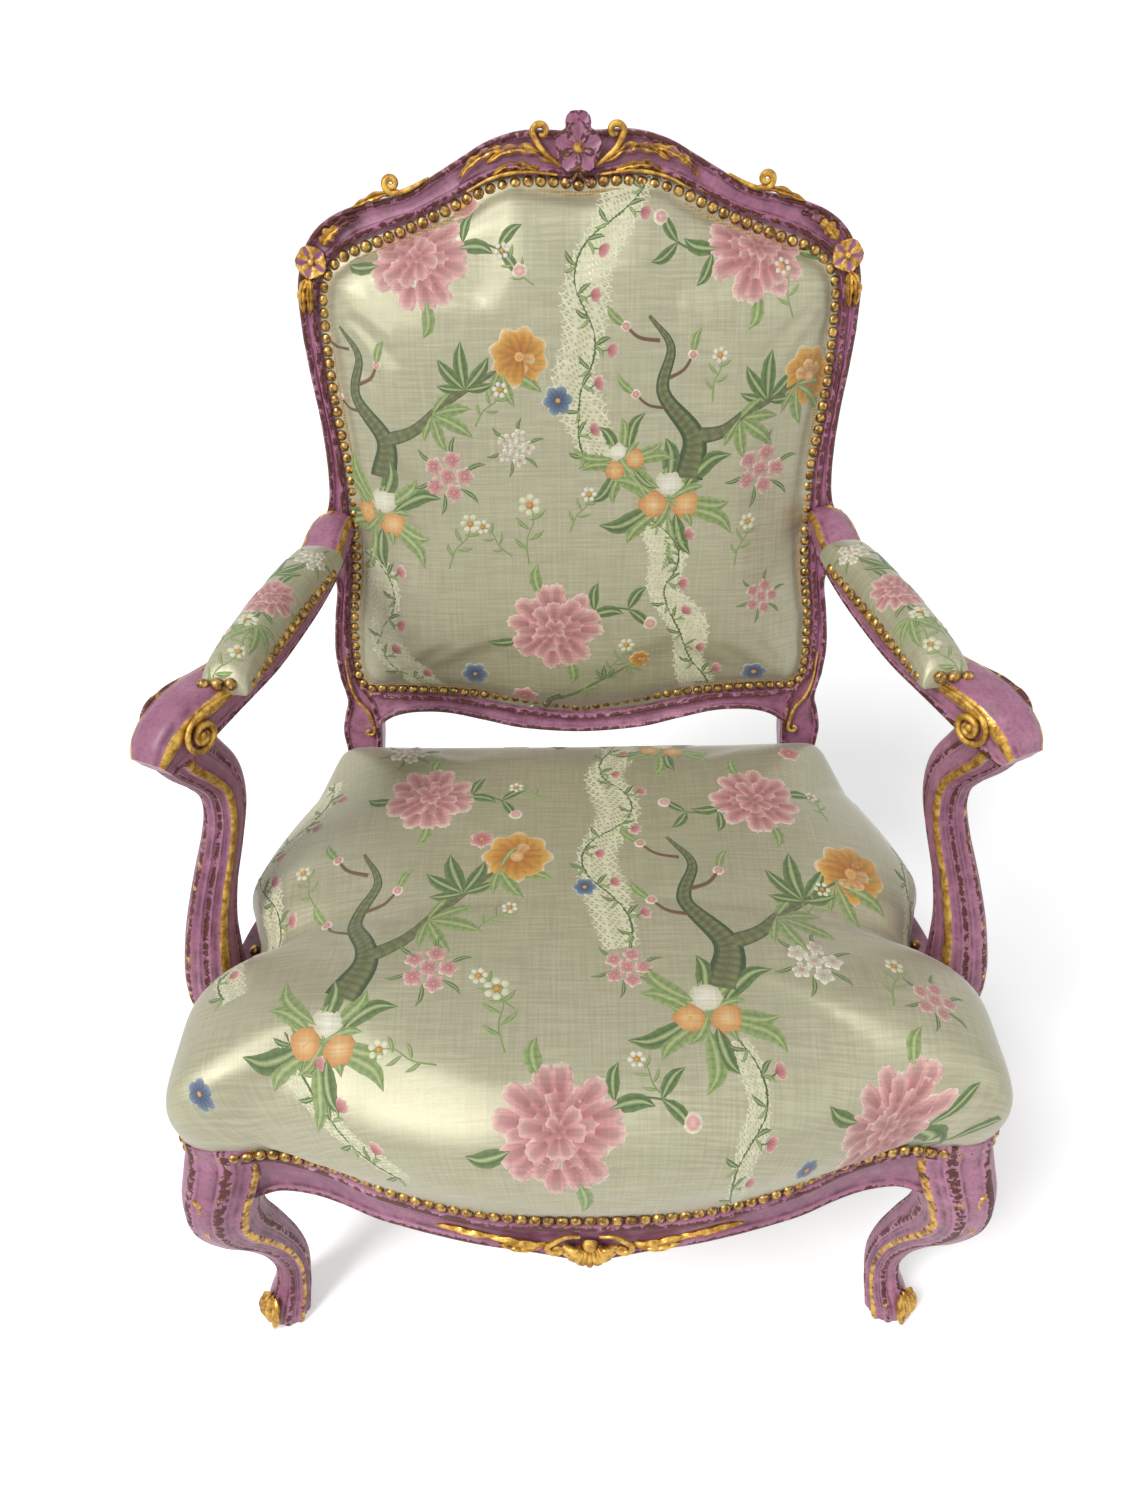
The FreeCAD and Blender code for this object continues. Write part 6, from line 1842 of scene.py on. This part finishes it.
def finish_material(key):
    """Make each finish once, when the first piece asks for it."""
    if not MATERIALS:
        wear_and_shade, weave = wear_and_shade_group(), weave_group()
        MATERIALS["painted_wood"] = painted_wood(wear_and_shade)
        MATERIALS["painted_rail"] = painted_wood(wear_and_shade, "painted_rail", True)
        MATERIALS["nail_brass"] = nail_brass()
        MATERIALS["brocade"] = satin(weave)
        MATERIALS["outside_fabric"] = satin(weave, "outside_fabric")
        MATERIALS["thread"] = thread(weave)
        MATERIALS["bare_wood"] = plain_material(
            "bare_wood", colour_of(150, 110, 72), colour_of(186, 148, 104), 40, 0.6, (1, 1, 0.15)
        )
        MATERIALS["screw_steel"] = plain_material(
            "screw_steel", colour_of(110, 108, 104), colour_of(150, 148, 144), 200, 0.4, None, 0.9
        )
        MATERIALS["horsehair"] = plain_material(
            "horsehair", colour_of(52, 42, 34), colour_of(96, 80, 62), 260, 0.9
        )
        MATERIALS["webbing"] = coarse_cloth(
            "webbing", colour_of(132, 110, 78), colour_of(176, 154, 116), 0.004
        )
        MATERIALS["hessian"] = coarse_cloth(
            "hessian", colour_of(150, 124, 84), colour_of(190, 164, 120), 0.0026
        )
    return MATERIALS[key]


class FauteuilSettings(bpy.types.PropertyGroup):
    nail_radius: bpy.props.FloatProperty(
        name="Nail radius", description="Half the width of a nail's head", default=0.0052, unit="LENGTH")
    nail_rise: bpy.props.FloatProperty(
        name="Nail rise", description="Height of a nail's dome", default=0.0038, unit="LENGTH")
    nail_variation: bpy.props.FloatProperty(
        name="Nail variation",
        description="How far nail heads differ in size",
        default=0.03,
        subtype="FACTOR",
    )
    floor_colour: bpy.props.FloatVectorProperty(
        name="Floor colour", description="Colour of the floor", default=(0.86, 0.86, 0.86), subtype="COLOR")


class FAUTEUIL_OT_woodwork(bpy.types.Operator):
    """Carve the back frame, the arms and the seat frame"""
    bl_idname = "fauteuil.woodwork"
    bl_label = "Woodwork"

    def execute(self, context):
        wood = finish_material("painted_wood")
        build_crest(wood)
        build_lower_rail(wood)
        build_front_rail(wood)
        for side in ("right", "left"):
            build_post(wood, side)
            build_arm(wood, side)
            build_support(wood, side)
            build_front_leg(wood, side)
            build_side_rail(wood, side)
        return {"FINISHED"}


class FAUTEUIL_OT_nails(bpy.types.Operator):
    """Set the domed nails along the covers' edges"""
    bl_idname = "fauteuil.nails"
    bl_label = "Nails"

    def execute(self, context):
        settings = context.scene.fauteuil
        head = dome_head(settings.nail_radius, settings.nail_rise)
        tree = nail_tree()
        for node in (
            "back_nails", "outside_back_nails", "seat_nails", "arm_pad_nails_right", "arm_pad_nails_left"
        ):
            nail_row(
                node + "_domed", node, head, tree, finish_material("nail_brass"), settings.nail_variation
            )
        return {"FINISHED"}


class FAUTEUIL_OT_cushions(bpy.types.Operator):
    """Fill the seat, the back and the arm pads, and lay the brocade's flowers on them"""
    bl_idname = "fauteuil.cushions"
    bl_label = "Cushions"

    def execute(self, context):
        satin_cloth, silk = finish_material("brocade"), finish_material("thread")
        out = back_point(0, 0, 1) - back_point(0, 0, 0)
        seat_form, back_form, arm_form = build_seat_cushion(), build_back_cushion(), build_arm_cushion()
        seat = smoother(cushion_object("seat_cushion", seat_form, satin_cloth, cap=0.004))
        close_under(seat, ((0.0008, (0, 0, 0)), (0.0004, SEAT_UNDERSIDE), (0.004, (0, 0, 0))))
        back = smoother(cushion_object("back_cushion", back_form, satin_cloth, cap=0.004))
        close_under(back, ((0.0004, tuple(-out * 0.0006)),))
        pad = smoother(cushion_object("arm_pad_right", arm_form, satin_cloth, cap=0.002))
        close_under(pad, ((0.0004, (0, 0, -0.0006)),))
        for thing, form, pattern, nodes in (
            (seat, seat_form, seat_pattern(), ("seat_cover", "seat_stuffing")),
            (back, back_form, back_pattern(), ("back_cover", "back_stuffing")),
            (pad, arm_form, arm_pattern(), ("arm_pad_cover_right", "arm_pad_stuffing_right")),
        ):
            declare(thing, "brocade", *nodes)
            flowers = on_cushion(thing, form, pattern, thing.name + "_flowers", silk)
        other = mirrored_object(pad, "arm_pad_left")
        declare(other, "brocade", "arm_pad_cover_left", "arm_pad_stuffing_left")
        declare(mirrored_object(flowers, "arm_pad_left_flowers"), "brocade")
        build_outside_back(finish_material("outside_fabric"))
        return {"FINISHED"}


class FAUTEUIL_OT_inner(bpy.types.Operator):
    """Give the frame's inner parts their finishes"""
    bl_idname = "fauteuil.inner"
    bl_label = "Inner parts"

    def execute(self, context):
        finishes = (
            ("webbing", "webbing"), ("hessian", "hessian"), (
                "screws", "screw_steel"
            ), ("stuffing", "horsehair"),
            ("rear_rail", "painted_rail"), ("", "bare_wood"),
        )
        for name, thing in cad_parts.items():
            key = next(finish for word, finish in finishes if word in name)
            thing.data.materials.clear()
            thing.data.materials.append(finish_material(key))
        return {"FINISHED"}


def aim(thing, place, target):
    thing.location = place
    thing.rotation_mode = "QUATERNION"
    thing.rotation_quaternion = (Vector(target) - Vector(place)).to_track_quat("-Z", "Y")


def area_lamp(name, place, target, size, power):
    lamp = bpy.data.lights.new(name, "AREA")
    lamp.shape = "DISK"
    lamp.size = size
    lamp.energy = power
    thing = bpy.data.objects.new(name, lamp)
    bpy.context.collection.objects.link(thing)
    aim(thing, place, target)
    return thing


def seen_directly(t):
    """1 for camera, glossy and transmission rays."""
    path = t.nodes.new("ShaderNodeLightPath")
    seen = t.math("MAXIMUM", path.outputs["Is Camera Ray"], path.outputs["Is Glossy Ray"])
    return t.math("MAXIMUM", seen, path.outputs["Is Transmission Ray"])


class FAUTEUIL_OT_stage(bpy.types.Operator):
    """Lay the floor, hang the lamps and set the camera"""
    bl_idname = "fauteuil.stage"
    bl_label = "Stage"

    def execute(self, context):
        half = 30.0
        data = bpy.data.meshes.new("floor")
        data.from_pydata(
            [(-half, -half, 0), (half, -half, 0), (half, half, 0), (-half, half, 0)], [], [(0, 1, 2, 3)]
        )
        floor = bpy.data.objects.new("floor", data)
        bpy.context.collection.objects.link(floor)
        material, t, shader = new_material("floor")
        t.feed(shader, "Base Color", (*context.scene.fauteuil.floor_colour, 1.0))
        t.feed(shader, "Roughness", 0.9)
        t.feed(shader, "Specular IOR Level", 0.1)
        t.feed(shader, "Emission Color", (1.0, 1.0, 1.0, 1.0))
        t.feed(shader, "Emission Strength", t.math("MULTIPLY", seen_directly(t), 0.42))
        data.materials.append(material)

        world = bpy.data.worlds.new("studio")
        context.scene.world = world
        world.use_nodes = True
        t = Tree(world.node_tree)
        background = world.node_tree.nodes["Background"]
        background.inputs["Color"].default_value = (1.0, 1.0, 1.0, 1.0)
        t.feed(background, "Strength", t.math("ADD", 0.38, t.math("MULTIPLY", seen_directly(t), 0.62)))

        sun = bpy.data.lights.new("sun", "SUN")
        sun.energy = 1.35
        sun.angle = math.radians(16)
        thing = bpy.data.objects.new("sun", sun)
        bpy.context.collection.objects.link(thing)
        aim(thing, (-1.6, -1.5, 3.0), (0, 0, 0))
        area_lamp("key", (-1.9, -2.0, 2.3), (0, 0, 0.5), 1.1, 34.0)
        area_lamp("fill", (2.4, -1.2, 1.7), (0, 0, 0.5), 1.4, 8.0)

        camera = bpy.data.cameras.new("camera")
        camera.sensor_fit = "AUTO"
        camera.sensor_width = 36.0
        camera.lens = 36.0 * 1127 / 1500
        thing = bpy.data.objects.new("camera", camera)
        bpy.context.collection.objects.link(thing)
        pitch, yaw, roll = (math.radians(a) for a in (39.31, -0.54, -0.90))
        ahead = Vector((math.sin(yaw) * math.cos(pitch), math.cos(yaw) * math.cos(pitch), -math.sin(pitch)))
        level = Vector((math.cos(yaw), -math.sin(yaw), 0.0))
        above = level.cross(ahead)
        right = math.cos(roll) * level + math.sin(roll) * above
        up = math.cos(roll) * above - math.sin(roll) * level
        turn = Matrix((right, up, -ahead)).transposed().to_4x4()
        thing.matrix_world = Matrix.Translation(Vector((-11.41, -765.32, 1172.58)) * MM) @ turn
        context.scene.camera = thing
        context.scene.view_settings.view_transform = "Standard"
        return {"FINISHED"}


STEPS = (
    FAUTEUIL_OT_inner, FAUTEUIL_OT_woodwork, FAUTEUIL_OT_cushions, FAUTEUIL_OT_nails, FAUTEUIL_OT_stage
)


class FAUTEUIL_PT_panel(bpy.types.Panel):
    """The steps that dress the chair"""
    bl_idname = "FAUTEUIL_PT_panel"
    bl_label = "Fauteuil"
    bl_space_type = "VIEW_3D"
    bl_region_type = "UI"
    bl_category = "Fauteuil"

    def draw(self, context):
        settings = context.scene.fauteuil
        for name in ("nail_radius", "nail_rise", "nail_variation", "floor_colour"):
            self.layout.prop(settings, name)
        for step in STEPS:
            self.layout.operator(step.bl_idname)


CLASSES = (FauteuilSettings, *STEPS, FAUTEUIL_PT_panel)


def register():
    for item in CLASSES:
        bpy.utils.register_class(item)
    bpy.types.Scene.fauteuil = bpy.props.PointerProperty(type=FauteuilSettings)


def unregister():
    del bpy.types.Scene.fauteuil
    for item in reversed(CLASSES):
        bpy.utils.unregister_class(item)


def main():
    register()
    bpy.ops.fauteuil.inner()
    bpy.ops.fauteuil.woodwork()
    bpy.ops.fauteuil.cushions()
    bpy.ops.fauteuil.nails()
    bpy.ops.fauteuil.stage()


if __name__ == "__main__":
    main()
